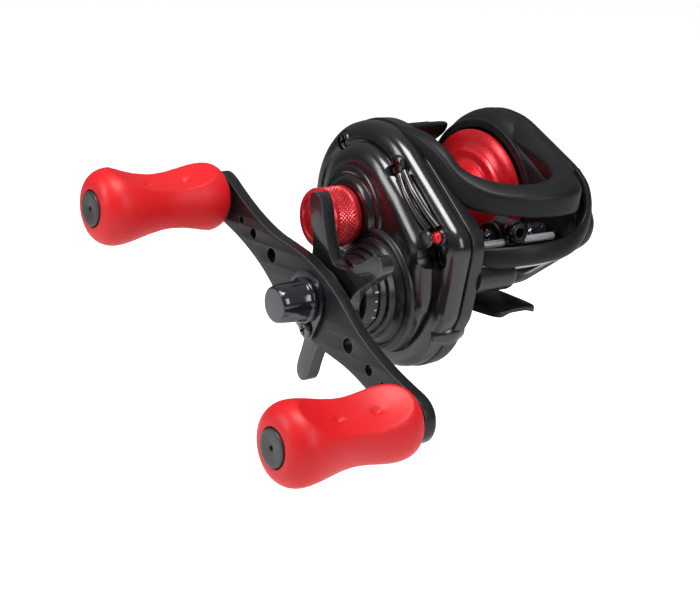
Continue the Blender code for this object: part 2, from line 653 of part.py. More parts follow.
def build_arm():
    upper = ARM_HALF + [(-along, half) for along, half in ARM_HALF[-2::-1]]
    outline = upper + [(along, -half) for along, half in upper[-2:0:-1]]
    holes = [circle(SHAFT, 2.65), circle(RETAINER_SCREW, SCREW_HOLE_R, 12)]
    for side in (1, -1):
        for along, radius in ARM_HOLES:
            holes.append(circle(offset(SHAFT, HANDLE_ANGLE, side * along, 0), radius, 16))
    points = [offset(SHAFT, HANDLE_ANGLE, *point) for point in outline]
    finish(plate("handle_arm", points, 40.3, 43.1, holes), "dark_metal")


def build_handle_nut():
    """Nut, the plate under it and the plate's screw."""
    finish(turned("handle_nut", NUT_PROFILE, SHAFT), "gloss_black")
    outline = hull([(*SHAFT, 6.4), (*RETAINER_SCREW, 2.3)], steps=40)
    holes = [circle(SHAFT, 2.7), circle(RETAINER_SCREW, SCREW_HOLE_R, 12)]
    finish(plate("nut_retainer", outline, 43.4, 44.2, holes), "gloss_black")
    screw = turned("retainer_screw", SCREW_PROFILE, RETAINER_SCREW, 12)
    cut_cross(screw, "rs", 44.8, 46, RETAINER_SCREW, half_length=1.0, half_width=0.2)
    finish(screw, "steel")


def build_knobs():
    for end, along in (("front", HANDLE_R), ("rear", -HANDLE_R)):
        centre = offset(SHAFT, HANDLE_ANGLE, along, 0)
        finish(turned("handle_knob_" + end, KNOB_PROFILE, centre), "red_rubber")
        finish(turned("knob_cap_" + end, KNOB_CAP_PROFILE, centre, 18), "black_plastic")
        finish(turned("knob_post_" + end, POST_PROFILE, centre, 12), "steel")


for build in (build_frame, build_hood, build_palm_cover, build_brake_dial, build_cover,
              build_cover_screws, build_hook_pin, build_rings, build_spool, build_pinion,
              build_clutch_yoke, build_thumb_bar, build_clutch_cam, build_shaft_train,
              build_worm, build_worm_gear, build_line_guide, build_cast_control,
              build_star_drag, build_arm, build_handle_nut, build_knobs):
    build()
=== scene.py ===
"""Low-profile baitcasting reel: looks, stage and camera over its CAD pieces.

The spool axis lies along X at height SPOOL_Z. +X is the handle side, -X the palm side,
+Y the front, where the line leaves, and +Z is up. Sizes are in millimetres unless noted;
meshes are scaled to metres as they are made.
"""
import json
import math

import bmesh
import bpy
import numpy as np
from mathutils import Matrix, Vector


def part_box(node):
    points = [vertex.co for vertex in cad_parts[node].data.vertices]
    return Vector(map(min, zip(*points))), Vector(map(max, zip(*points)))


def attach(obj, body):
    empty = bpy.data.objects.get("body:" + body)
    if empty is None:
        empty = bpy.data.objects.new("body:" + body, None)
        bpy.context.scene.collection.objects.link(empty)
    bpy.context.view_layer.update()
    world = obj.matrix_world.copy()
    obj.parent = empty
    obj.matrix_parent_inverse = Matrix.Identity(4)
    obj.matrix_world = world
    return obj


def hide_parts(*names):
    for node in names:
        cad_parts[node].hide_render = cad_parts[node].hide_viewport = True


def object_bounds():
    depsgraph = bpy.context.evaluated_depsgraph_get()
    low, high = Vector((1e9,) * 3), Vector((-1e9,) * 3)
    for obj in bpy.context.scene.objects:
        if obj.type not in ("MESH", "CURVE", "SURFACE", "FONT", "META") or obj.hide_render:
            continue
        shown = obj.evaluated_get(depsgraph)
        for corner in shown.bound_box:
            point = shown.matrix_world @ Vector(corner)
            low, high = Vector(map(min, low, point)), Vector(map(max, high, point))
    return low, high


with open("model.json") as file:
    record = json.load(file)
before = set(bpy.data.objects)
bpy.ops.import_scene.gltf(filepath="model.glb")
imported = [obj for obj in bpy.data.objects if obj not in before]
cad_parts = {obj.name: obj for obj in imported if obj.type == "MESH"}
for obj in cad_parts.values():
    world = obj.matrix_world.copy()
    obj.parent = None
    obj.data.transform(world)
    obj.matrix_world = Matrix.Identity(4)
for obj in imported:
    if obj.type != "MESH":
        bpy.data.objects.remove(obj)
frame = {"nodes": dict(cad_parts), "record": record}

MM = 0.001
CAD_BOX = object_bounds()
ROOT = "reel_frame"
SPOOL_Z = 19.5


def centre(node):
    """Middle of a CAD piece as (y, z)."""
    low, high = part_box(node)
    return tuple((a + b) / 2 / MM for a, b in zip(low, high))[1:]


# axes running along X, as (y, z)
SPOOL = (0.0, SPOOL_Z)
DRIVE = centre("drive_shaft")
WORM = centre("worm_shaft")
RAIL = centre("line_guide_rail")
DIAL = centre("brake_dial")
KNOBS = {"front": centre("knob_post_front"), "rear": centre("knob_post_rear")}
KNOB_SPAN = [f - r for f, r in zip(KNOBS["front"], KNOBS["rear"])]
HANDLE_ANGLE = math.atan2(KNOB_SPAN[1], KNOB_SPAN[0])
HANDLE_R = math.hypot(*KNOB_SPAN) / 2


# ------------------------------------------------------------------ materials
# socket numbers, since the names repeat on these nodes
MIX_FACTOR, FLOAT_A, FLOAT_B, COLOUR_A, COLOUR_B = 0, 2, 3, 6, 7
FLOAT_RESULT, COLOUR_RESULT = 0, 2


def add_node(tree, kind, inputs=None, **settings):
    made = tree.nodes.new(kind)
    for setting, value in settings.items():
        setattr(made, setting, value)
    for socket, value in (inputs or {}).items():
        made.inputs[socket].default_value = value
    return made


def map_range(tree, source, old, new=(0.0, 1.0)):
    made = add_node(tree, "ShaderNodeMapRange", {1: old[0], 2: old[1], 3: new[0], 4: new[1]})
    tree.links.new(source, made.inputs[0])
    return made.outputs[0]


def noise(tree, coords, scale, detail):
    made = add_node(tree, "ShaderNodeTexNoise", {"Scale": scale, "Detail": detail})
    tree.links.new(coords, made.inputs["Vector"])
    return made.outputs["Fac"]


def painted_edge_highlight(tree, colour, amount, edge_highlight_colour):
    """Painted edge highlight: blend towards a lighter colour where a small bevel would turn
    the normal.
    """
    link = tree.links.new
    bevel = add_node(tree, "ShaderNodeBevel", {"Radius": 0.00035}, samples=4)
    geometry = add_node(tree, "ShaderNodeNewGeometry")
    dot = add_node(tree, "ShaderNodeVectorMath", operation="DOT_PRODUCT")
    link(bevel.outputs[0], dot.inputs[0])
    link(geometry.outputs["Normal"], dot.inputs[1])
    edge = map_range(tree, dot.outputs["Value"], old=(0.995, 0.80), new=(0.0, amount))
    mix = add_node(tree, "ShaderNodeMix", {COLOUR_B: (*edge_highlight_colour, 1)}, data_type="RGBA")
    link(colour, mix.inputs[COLOUR_A])
    link(edge, mix.inputs[MIX_FACTOR])
    return mix.outputs[COLOUR_RESULT]


def material(name, base, second, rough, rough_swing=0.08, metal=0.0, spec=0.5,
             coat=0.0, coat_rough=0.1, subsurface=0.0, patch_scale=60.0,
             grain_scale=900.0, bump=0.2, edge_highlight=0.0, edge_highlight_colour=(0.5, 0.5, 0.5), brushed=None):
    """Two-tone surface with fine grain; `brushed` stretches the grain along an axis."""
    made = bpy.data.materials.new(name)
    made.use_nodes = True
    made.diffuse_color = (*base, 1)
    tree = made.node_tree
    link = tree.links.new
    shader = tree.nodes["Principled BSDF"]
    coords = add_node(tree, "ShaderNodeTexCoord").outputs["Object"]

    patches = noise(tree, coords, patch_scale, detail=5)
    tones = add_node(tree, "ShaderNodeMix", {COLOUR_A: (*base, 1), COLOUR_B: (*second, 1)},
                     data_type="RGBA")
    link(map_range(tree, patches, old=(0.35, 0.70)), tones.inputs[MIX_FACTOR])
    colour = tones.outputs[COLOUR_RESULT]
    # painted edge highlight: rims turn lighter as if lit
    if edge_highlight > 0:
        colour = painted_edge_highlight(tree, colour, edge_highlight, edge_highlight_colour)
    link(colour, shader.inputs["Base Color"])
    shader.inputs["Metallic"].default_value = metal
    shader.inputs["Specular IOR Level"].default_value = spec
    shader.inputs["Coat Weight"].default_value = coat
    shader.inputs["Coat Roughness"].default_value = coat_rough
    if subsurface:
        shader.inputs["Subsurface Weight"].default_value = subsurface
        shader.inputs["Subsurface Scale"].default_value = 0.002

    grain_coords = coords
    if brushed:
        mapping = add_node(tree, "ShaderNodeMapping", {"Scale": brushed})
        link(coords, mapping.inputs["Vector"])
        grain_coords = mapping.outputs[0]
    grain = noise(tree, grain_coords, grain_scale, detail=4)
    smudges = noise(tree, coords, scale=140.0, detail=3)

    # roughness follows the mean of smudges and grain
    total = add_node(tree, "ShaderNodeMath", operation="ADD")
    link(smudges, total.inputs[0])
    link(grain, total.inputs[1])
    mean = add_node(tree, "ShaderNodeMath", {1: 0.5}, operation="MULTIPLY")
    link(total.outputs[0], mean.inputs[0])
    roughness = map_range(tree, mean.outputs[0], old=(0.3, 0.7),
                          new=(rough - rough_swing, rough + rough_swing))
    link(roughness, shader.inputs["Roughness"])

    relief = add_node(tree, "ShaderNodeBump", {"Strength": bump, "Distance": 0.00004})
    link(grain, relief.inputs["Height"])
    link(relief.outputs[0], shader.inputs["Normal"])
    return made


# the arm, star, red and dark steel looks get lighter rims, a painted edge highlight
RUBBER = material(
    "red_rubber", base=(0.57, 0.009, 0.013), second=(0.56, 0.006, 0.010), rough=0.44,
    rough_swing=0.07, spec=0.30, subsurface=0.06, grain_scale=2600, bump=0.3)
PLUG = material(
    "plug_plastic", base=(0.028, 0.028, 0.030), second=(0.018, 0.018, 0.02), rough=0.42,
    grain_scale=2200, bump=0.3)
GLOSS = material(
    "gloss_black", base=(0.0045, 0.0045, 0.0058), second=(0.0065, 0.0065, 0.008), rough=0.22,
    rough_swing=0.05, spec=0.6, coat=0.18, coat_rough=0.14, grain_scale=260, bump=0.04)
SATIN = material(
    "satin_black", base=(0.008, 0.008, 0.009), second=(0.006, 0.006, 0.007), rough=0.32,
    rough_swing=0.07, spec=0.36, coat=0.2, coat_rough=0.2, grain_scale=700, bump=0.15)
MATTE = material(
    "matte_black", base=(0.005, 0.005, 0.006), second=(0.004, 0.004, 0.005), rough=0.44,
    rough_swing=0.06, spec=0.24, grain_scale=3200, bump=0.5)
ARM = material(
    "arm_metal", base=(0.009, 0.009, 0.010), second=(0.006, 0.006, 0.007), rough=0.36,
    rough_swing=0.07, metal=0.15, spec=0.35, grain_scale=500,
    edge_highlight=0.55, edge_highlight_colour=(0.22, 0.22, 0.23), brushed=(1.0, 0.15, 1.0))
STAR = material(
    "star_metal", base=(0.018, 0.018, 0.021), second=(0.012, 0.012, 0.015), rough=0.22,
    rough_swing=0.06, metal=0.35, coat=0.5, coat_rough=0.08, grain_scale=400, bump=0.08,
    edge_highlight=0.35, edge_highlight_colour=(0.25, 0.25, 0.27))
NUT = material(
    "nut_black", base=(0.006, 0.006, 0.010), second=(0.012, 0.012, 0.022), rough=0.13,
    rough_swing=0.05, metal=0.2, coat=0.7, coat_rough=0.05, grain_scale=300, bump=0.04)
RED = material(
    "red_anodised", base=(0.60, 0.012, 0.022), second=(0.47, 0.008, 0.016), rough=0.30,
    rough_swing=0.07, metal=0.60, coat=0.25, coat_rough=0.15, bump=0.12,
    edge_highlight=0.25, edge_highlight_colour=(1.0, 0.20, 0.20))
RED_SPOOL = material(
    "red_spool", base=(0.60, 0.012, 0.020), second=(0.56, 0.010, 0.018), rough=0.30,
    rough_swing=0.07, metal=0.50, coat=0.2, coat_rough=0.2, grain_scale=700, bump=0.12,
    brushed=(4.0, 1.0, 1.0))
STEEL = material(
    "stainless", base=(0.62, 0.62, 0.63), second=(0.50, 0.50, 0.52), rough=0.20, metal=1.0,
    bump=0.15, brushed=(0.1, 1.0, 1.0))
DARK_STEEL = material(
    "dark_steel", base=(0.16, 0.16, 0.17), second=(0.10, 0.10, 0.11), rough=0.28, metal=0.9,
    edge_highlight=0.4)
POLISHED = material(
    "polished_rail", base=(0.80, 0.80, 0.81), second=(0.70, 0.70, 0.71), rough=0.34,
    rough_swing=0.05, metal=0.55, bump=0.1)
BRASS = material(
    "machined_brass", base=(0.60, 0.42, 0.15), second=(0.48, 0.32, 0.10), rough=0.28,
    metal=1.0, brushed=(4.0, 1.0, 1.0))
CARBON = material(
    "carbon_washer", base=(0.022, 0.022, 0.024), second=(0.045, 0.045, 0.048), rough=0.6,
    patch_scale=900, grain_scale=1500, bump=0.6)
PLASTIC = material(
    "inner_plastic", base=(0.014, 0.014, 0.015), second=(0.020, 0.020, 0.021), rough=0.36,
    grain_scale=1300, bump=0.3)
PRINT = material(
    "pale_print", base=(0.55, 0.55, 0.56), second=(0.42, 0.42, 0.43), rough=0.45,
    grain_scale=1500)
# near-black painted shade for the insides of holes
HOLE_SHADE = material(
    "painted_hole_shade", base=(0.003, 0.003, 0.003), second=(0.005, 0.005, 0.005), rough=0.6,
    grain_scale=600, bump=0.1)

# looks of the CAD pieces, by material slot
SLOT_LOOK = {
    "frame": PLASTIC, "hood": MATTE, "cover": GLOSS, "red_anodised": RED,
    "knob_rubber": RUBBER, "knob_cap": PLUG, "arm": ARM, "gloss_black_metal": NUT,
    "steel": STEEL, "brass": BRASS, "carbon": CARBON, "gear_plastic": PLASTIC,
}
SLOT_OF = {part["node"]: part["material_slot"] for part in frame["record"]["subparts"]}
for node_name, cad in frame["nodes"].items():
    look = SLOT_LOOK[SLOT_OF[node_name]]
    if not cad.material_slots:
        cad.data.materials.append(look)
    for material_slot in cad.material_slots:
        material_slot.material = look


# ------------------------------------------------------------------ points and curves
def polar(about, radius, angle):
    return (about[0] + radius * math.cos(angle), about[1] + radius * math.sin(angle))


def rotated(point, angle, about):
    cos, sin = math.cos(angle), math.sin(angle)
    return (about[0] + point[0] * cos - point[1] * sin,
            about[1] + point[0] * sin + point[1] * cos)


def on_arm(along, across):
    """Place on the handle arm, measured from the drive shaft."""
    return rotated((along, across), HANDLE_ANGLE, DRIVE)


def circle(at, radius, count=48):
    return [polar(at, radius, math.tau * k / count) for k in range(count)]


def smoothstep(start, end, x):
    t = min(1.0, max(0.0, (x - start) / (end - start)))
    return t * t * (3 - 2 * t)


def catmull(points, per, close=False):
    """Catmull-Rom curve with `per` steps a span; each point may be an array of any shape."""
    points = [np.array(p, float) for p in points]
    n = len(points)
    out = []
    for i in range(n if close else n - 1):
        if close:
            a, b, c, d = points[i - 1], points[i], points[(i + 1) % n], points[(i + 2) % n]
        else:
            a = points[i - 1] if i else 2 * points[0] - points[1]
            b, c = points[i], points[i + 1]
            d = points[i + 2] if i + 2 < n else 2 * points[-1] - points[-2]
        for k in range(per):
            t = k / per
            out.append(0.5 * ((2 * b) + (c - a) * t + (2 * a - 5 * b + 4 * c - d) * t * t
                              + (-a + 3 * b - 3 * c + d) * t ** 3))
    if not close:
        out.append(points[-1])
    return out


CORNER_STEPS = 3


def corner(start, tip, end):
    """Quadratic arc that rounds the corner at tip."""
    steps = [i / CORNER_STEPS for i in range(CORNER_STEPS + 1)]
    return [(1 - t) ** 2 * start + 2 * t * (1 - t) * tip + t * t * end for t in steps]


def facet(points, share):
    """Closed section with flat sides; each corner takes `share` of its two sides."""
    points = [np.array(p, float) for p in points]
    out = []
    for i, tip in enumerate(points):
        after = points[(i + 1) % len(points)]
        out += corner(tip + (points[i - 1] - tip) * share, tip, tip + (after - tip) * share)
    return out


def rounded(profile, cut):
    """Open profile with each inner corner cut back by up to `cut` and rounded."""
    points = [np.array(p, float) for p in profile]
    out = [points[0]]
    for before, tip, after in zip(points, points[1:], points[2:]):
        length_in = np.linalg.norm(before - tip)
        length_out = np.linalg.norm(after - tip)
        back = min(cut, length_in * 0.45, length_out * 0.45)
        out += corner(tip + (before - tip) / length_in * back, tip,
                      tip + (after - tip) / length_out * back)
    out.append(points[-1])
    return out


HULL_ANGLES = np.linspace(0, 2 * math.pi, 1440, endpoint=False)


def hull_radii(circles, about, count, grow=0.0):
    """Reach from `about` to the hull of circles (y, z, r), at even angles."""
    cos, sin = np.cos(HULL_ANGLES), np.sin(HULL_ANGLES)
    support = np.max([(y - about[0]) * cos + (z - about[1]) * sin + r + grow
                      for y, z, r in circles], axis=0)
    out = []
    for k in range(count):
        t = math.tau * k / count
        facing = cos * math.cos(t) + sin * math.sin(t)
        ahead = facing > 0.05
        out.append(np.min(support[ahead] / facing[ahead]))
    return np.array(out)


def polar_ring(about, radii):
    return [polar(about, r, math.tau * k / len(radii)) for k, r in enumerate(radii)]


def hull(circles, about, count, grow=0.0):
    return polar_ring(about, hull_radii(circles, about, count, grow))


def hull_rows(circles, about, count, levels):
    """One hull outline for each level (x, grow)."""
    return [[(x, y, z) for y, z in hull(circles, about, count, grow)] for x, grow in levels]


# ------------------------------------------------------------------ mesh makers
def put(ob, look, body=ROOT, replaces=None):
    bpy.context.scene.collection.objects.link(ob)
    ob.data.materials.clear()
    ob.data.materials.append(look)
    if replaces:
        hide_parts(replaces)
    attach(ob, body)


def smooth(me, sharp=35):
    me.shade_smooth()
    me.set_sharp_from_angle(angle=math.radians(sharp))


def mesh(name, verts, faces, sharp=35):
    me = bpy.data.meshes.new(name)
    me.from_pydata([tuple(c * MM for c in v) for v in verts], [], faces)
    bm = bmesh.new()
    bm.from_mesh(me)
    bmesh.ops.remove_doubles(bm, verts=bm.verts, dist=1e-7)
    bmesh.ops.recalc_face_normals(bm, faces=bm.faces)
    bm.to_mesh(me)
    bm.free()
    smooth(me, sharp)
    return bpy.data.objects.new(name, me)


def skin(name, rows, closed=False, sharp=40):
    """Grid through equal-count loops; its ends are capped unless it closes on itself."""
    n, m = len(rows[0]), len(rows)
    faces = []
    for i in range(m if closed else m - 1):
        a, b = i * n, ((i + 1) % m) * n
        for j in range(n):
            k = (j + 1) % n
            faces.append((a + j, a + k, b + k, b + j))
    if not closed:
        faces.append(tuple(range(n - 1, -1, -1)))
        faces.append(tuple(range((m - 1) * n, m * n)))
    return mesh(name, [tuple(p) for row in rows for p in row], faces, sharp)


def lathe(name, profile, at, segments, cut=0.0, axis="X", shape=None, sharp=35, ring=False):
    """Turn a profile of (along, radius) about an axis.

    cut rounds the profile's corners, shape(along, radius, angle) alters the radius and
    ring closes the profile on itself to leave a bore.
    """
    rows = []
    for along, radius in rounded(profile, cut) if cut else profile:
        row = []
        for k in range(segments):
            t = math.tau * k / segments
            u, v = polar(at, shape(along, radius, t) if shape else radius, t)
            row.append((along, u, v) if axis == "X" else (u, along, v))
        rows.append(row)
    return skin(name, rows, closed=ring, sharp=sharp)


def flat(name, outline, start, end, holes=(), bevel=0.3, segments=3, plane="YZ", sharp=35):
    """Outline with holes, extruded from start to end and bevelled at its rims."""
    curve = bpy.data.curves.new(name, "CURVE")
    curve.dimensions = "2D"
    curve.fill_mode = "BOTH"
    curve.extrude = (end - start) / 2 * MM
    for loop in [outline, *holes]:
        spline = curve.splines.new("POLY")
        spline.points.add(len(loop) - 1)
        for point, (u, v) in zip(spline.points, loop):
            point.co = (u * MM, v * MM, 0, 1)
        spline.use_cyclic_u = True
    temp = bpy.data.objects.new(name + "_tmp", curve)
    bpy.context.scene.collection.objects.link(temp)
    bpy.context.view_layer.update()
    depsgraph = bpy.context.evaluated_depsgraph_get()
    me = bpy.data.meshes.new_from_object(temp.evaluated_get(depsgraph))
    bpy.data.objects.remove(temp, do_unlink=True)
    me.transform(Matrix.Translation((0, 0, (start + end) / 2 * MM)))
    if plane == "YZ":
        me.transform(Matrix(((0, 0, 1, 0), (1, 0, 0, 0), (0, 1, 0, 0), (0, 0, 0, 1))))
    bm = bmesh.new()
    bm.from_mesh(me)
    bmesh.ops.remove_doubles(bm, verts=bm.verts, dist=1e-7)
    bmesh.ops.recalc_face_normals(bm, faces=bm.faces)
    if bevel:
        rims = [e for e in bm.edges
                if len(e.link_faces) == 2 and e.calc_face_angle(0) > math.radians(50)]
        bmesh.ops.bevel(bm, geom=rims, offset=bevel * MM, segments=segments, profile=0.5,
                        affect="EDGES", clamp_overlap=True)
    bm.to_mesh(me)
    bm.free()
    me.name = name
    smooth(me, sharp)
    return bpy.data.objects.new(name, me)


def tube(name, points, radii, segments=16):
    """Round bar swept through points, with a radius at each."""
    path = catmull(points, 6)
    sizes = [float(v[0]) for v in catmull([(r,) for r in radii], 6)]
    rows = []
    for i, p in enumerate(path):
        along = path[min(i + 1, len(path) - 1)] - path[max(i - 1, 0)]
        along /= np.linalg.norm(along)
        # where the bar runs nearly along X, Z is the steadier reference
        side = np.cross(along, (0, 0, 1.0) if abs(along[0]) > 0.9 else (1.0, 0.0, 0.0))
        side /= np.linalg.norm(side)
        across = np.cross(side, along)
        angles = [math.tau * k / segments for k in range(segments)]
        rows.append([p + sizes[i] * (math.cos(a) * side + math.sin(a) * across)
                     for a in angles])
    return skin(name, rows, sharp=50)


def cut_away(ob, cutters):
    """Subtract closed meshes and keep the result as the mesh."""
    collection = bpy.context.scene.collection
    collection.objects.link(ob)
    for cutter in cutters:
        collection.objects.link(cutter)
        modifier = ob.modifiers.new("b", "BOOLEAN")
        modifier.operation = "DIFFERENCE"
        modifier.solver = "EXACT"
        modifier.object = cutter
    bpy.context.view_layer.update()
    depsgraph = bpy.context.evaluated_depsgraph_get()
    me = bpy.data.meshes.new_from_object(ob.evaluated_get(depsgraph))
    ob.modifiers.clear()
    ob.data = me
    collection.objects.unlink(ob)
    for cutter in cutters:
        bpy.data.objects.remove(cutter, do_unlink=True)
    smooth(me)


def cross_screw(name, at, face, radius, look, body, replaces):
    """Screw head with a cross recess; its outer face lies at x = face."""
    head = lathe(name, [(face - 1.2, 0), (face - 1.2, radius), (face - 0.35, radius),
                        (face, radius * 0.72), (face, 0)], at, 48, cut=0.18)
    half_l, half_w = radius * 0.66, radius * 0.16
    corners = [(-half_l, -half_w), (half_l, -half_w), (half_l, half_w), (-half_l, half_w)]
    blades = []
    for k in range(2):
        outline = [rotated(p, math.radians(28 + 90 * k), at) for p in corners]
        blades.append(flat(f"{name}_cut{k}", outline, face - 0.7, face + 0.5, bevel=0))
    cut_away(head, blades)
    put(head, look, body, replaces)


# ------------------------------------------------------------------ knobs
# (x, radius) of the grip, from its arm end outwards
GRIP_PROFILE = [
    (43.75, 4.6), (43.75, 5.6), (44.3, 6.6), (45.6, 7.55), (47.5, 8.05), (50.0, 8.1),
    (53.0, 7.75), (56.0, 7.35), (59.0, 7.15), (62.0, 7.35), (65.0, 7.85), (68.0, 8.45),
    (70.5, 8.85), (72.6, 8.9), (74.4, 8.45), (75.7, 7.6), (76.5, 6.5), (76.9, 5.3),
    (76.95, 4.35),
]
GRIP_BORE = 2.1
SEAT_R = 4.2             # recess for the plug in the outer end
SEAT_X = 75.9
SCOOP_MID, SCOOP_HALF = 58.5, 13.5
SCOOP_FLOOR, SCOOP_RISE = 4.25, 3.9
SCOOP_BLEND = 0.12       # softness of each scoop's edge
DIMPLE_XS = (53.2, 62.6)


def scooped(facing):
    """Shape with two opposite scooped faces, each with two small dimples."""
    def shape(x, radius, angle):
        if radius <= SEAT_R + 0.05:
            return radius
        best = radius
        for side in (0.0, math.pi):
            offset = angle - facing - side
            cos = math.cos(offset)
            if cos <= 0.05:
                continue
            u = (x - SCOOP_MID) / SCOOP_HALF
            height = SCOOP_FLOOR + SCOOP_RISE * min(1.6, abs(u)) ** 2.2   # saddle along
            height += 0.018 * (radius * math.sin(offset)) ** 2            # hollow across
            scoop = height / cos
            keep = max(0.0, min(1.0, 0.5 + 0.5 * (scoop - best) / SCOOP_BLEND))
            best = (scoop * (1 - keep) + best * keep
                    - SCOOP_BLEND * keep * (1 - keep) * 0.5)
            for dimple_x in DIMPLE_XS:
                gap = (x - dimple_x) ** 2 + (best * math.sin(offset)) ** 2
                best -= 0.85 * math.exp(-gap / 0.75)
        return best
    return shape


PLUG_PROFILE = [(75.95, 0.0), (75.95, 4.05), (77.35, 4.02), (77.45, 3.4), (77.3, 0.62),
                (76.6, 0.55), (76.5, 0.0)]
for end, facing in (("front", math.radians(62)), ("rear", math.radians(78))):
    outside = [tuple(p) for p in catmull(GRIP_PROFILE, 4)]
    profile = [(43.75, GRIP_BORE)] + outside + [(SEAT_X, SEAT_R), (SEAT_X, GRIP_BORE)]
    grip = lathe("grip_" + end, profile, KNOBS[end], 144, shape=scooped(facing), ring=True,
                 sharp=50)
    put(grip, RUBBER, end + "_knob", "handle_knob_" + end)
    put(lathe("grip_plug_" + end, PLUG_PROFILE, KNOBS[end], 64, cut=0.14),
        PLUG, end + "_knob", "knob_cap_" + end)

# ------------------------------------------------------------------ handle arm
# (along, across) from one tip to the middle; mirrored both ways
ARM_QUARTER = [
    (-46.35, 0.0), (-45.9, 2.2), (-44.6, 4.1), (-42.6, 5.15), (-40.0, 5.3), (-36.0, 4.8),
    (-30.0, 4.3), (-24.0, 4.3), (-18.0, 4.9), (-12.0, 6.3), (-6.0, 7.6), (0.0, 8.0),
]
ARM_INNER, ARM_OUTER = 40.35, 43.1
ARM_HOLES = ((16.6, 1.75), (25.0, 1.3), (30.6, 0.95))    # (along, radius)

arm_side = ARM_QUARTER + [(-a, b) for a, b in ARM_QUARTER[-2::-1]]
arm_loop = arm_side + [(a, -b) for a, b in arm_side[-2:0:-1]]
arm_outline = [on_arm(*p) for p in catmull(arm_loop, 4, close=True)]
arm_holes = [circle(DRIVE, 2.6)]
for sign in (1, -1):
    arm_holes += [circle(on_arm(sign * along, 0), r, 32) for along, r in ARM_HOLES]
put(flat("arm_plate", arm_outline, ARM_INNER, ARM_OUTER, arm_holes, bevel=0.42),
    ARM, "handle", "handle_arm")
for end, at in KNOBS.items():
    put(lathe("knob_collar_" + end, [(39.9, 0), (39.9, 2.2), (40.36, 2.9), (40.5, 2.9),
                                     (40.5, 0)], at, 48, cut=0.12),
        NUT, "handle")
    put(lathe("knob_washer_" + end, [(ARM_OUTER, 0), (ARM_OUTER, 3.4), (43.65, 3.4),
                                     (43.65, 0)], at, 48, cut=0.12),
        NUT, "handle")

# nut, its retainer and the small cross-head screw
put(lathe("arm_nut", [(44.1, 0), (44.1, 5.15), (45.0, 5.2), (45.4, 4.75), (47.2, 4.55),
                      (51.0, 4.3), (52.1, 4.05), (52.3, 3.65), (52.3, 0)],
          DRIVE, 96, cut=0.22), NUT, "handle", "handle_nut")
RETAINER_SCREW = on_arm(3.4, -5.6)
put(flat("arm_nut_retainer", hull([(*DRIVE, 6.5), (*RETAINER_SCREW, 2.5)], DRIVE, 128),
         ARM_OUTER, 44.0, [circle(DRIVE, 2.7)], bevel=0.22),
    NUT, "handle", "nut_retainer")
cross_screw("arm_screw", RETAINER_SCREW, face=45.0, radius=1.85, look=DARK_STEEL,
            body="handle", replaces="retainer_screw")

# ------------------------------------------------------------------ star drag
# one point of the star: (radius, degrees from the point's bearing)
STAR_POINT = [
    (8.6, -36), (9.4, -24), (12.2, -13.0), (16.5, -8.4), (20.0, -6.8), (22.4, -4.6),
    (23.4, -0.6), (23.0, 3.8), (21.0, 6.4), (17.5, 7.4), (13.0, 11.0), (9.9, 21.0),
]
STAR_POINTS, STAR_BEARING = 5, 30

star = [polar(DRIVE, r, math.radians(STAR_BEARING + 360 // STAR_POINTS * k + turn))
        for k in range(STAR_POINTS) for r, turn in STAR_POINT]
put(flat("star_wheel", catmull(star, 4, close=True), 35.45, 38.6, [circle(DRIVE, 5.0)],
         bevel=0.7, segments=4, sharp=30), STAR, "star", "star_drag")
put(lathe("star_hub", [(34.2, 2.65), (34.2, 6.4), (35.2, 6.9), (38.4, 6.9), (39.4, 6.0),
                       (39.9, 4.8), (39.9, 2.65)], DRIVE, 96, cut=0.3, ring=True),
    STAR, "star")

# ------------------------------------------------------------------ cast-control cap
KNURL_START, KNURL_END, KNURL_FADE = 28.5, 33.2, 0.4
KNURL_COUNT, KNURL_PITCH, KNURL_DEPTH = 46, 1.0, 0.30
KNURL_ROWS = 46


def knurl(x, radius, angle):
    """Diamond knurling that fades out at both ends of its band."""
    if not (KNURL_START < x < KNURL_END and radius > 6.5):
        return radius
    edge = min(smoothstep(KNURL_START, KNURL_START + KNURL_FADE, x),
               1 - smoothstep(KNURL_END - KNURL_FADE, KNURL_END, x))
    around = angle * KNURL_COUNT / math.tau
    along = (x - KNURL_START) / KNURL_PITCH
    nearest = min(abs((q % 1.0) - 0.5) * 2 for q in (around + along, around - along))
    return radius - KNURL_DEPTH * edge * (1 - min(1.0, 1.35 * nearest))


cap_profile = [
    (34.95, 0.0), (34.95, 2.8), (34.75, 3.0), (34.75, 4.9), (35.05, 5.2), (35.05, 6.2),
    (34.7, 6.7), (34.1, 7.0), (33.7, 7.0), (33.5, 6.8), (33.25, 6.8),
]
cap_profile += [(KNURL_START + (KNURL_END - KNURL_START) * k / KNURL_ROWS, 6.98)
                for k in range(KNURL_ROWS, -1, -1)]
cap_profile += [
    (28.45, 6.8), (28.2, 6.8), (28.0, 7.0), (27.5, 7.0), (26.9, 6.75), (26.6, 6.3),
    (26.65, 5.6), (31.4, 5.6), (31.4, 0.0),
]
put(lathe("cast_cap", cap_profile, SPOOL, 8 * KNURL_COUNT, shape=knurl, sharp=28),
    RED, "tension", "tension_knob")

# ------------------------------------------------------------------ handle-side cover
# hull circles (y, z, radius) of the cover's base and of its raised top
COVER_BASE = [(0, SPOOL_Z, 21.0), (*DRIVE, 18.5), (26.6, 16.2, 6.2),
              (23.0, SPOOL_Z - 16.6, 6.6)]
COVER_TOP = [(2.0, SPOOL_Z + 1.2, 15.4), (*DRIVE, 16.2), (20.6, 15.4, 5.6)]
COVER_CENTRE = (7.0, 11.0)
COVER_COUNT = 216
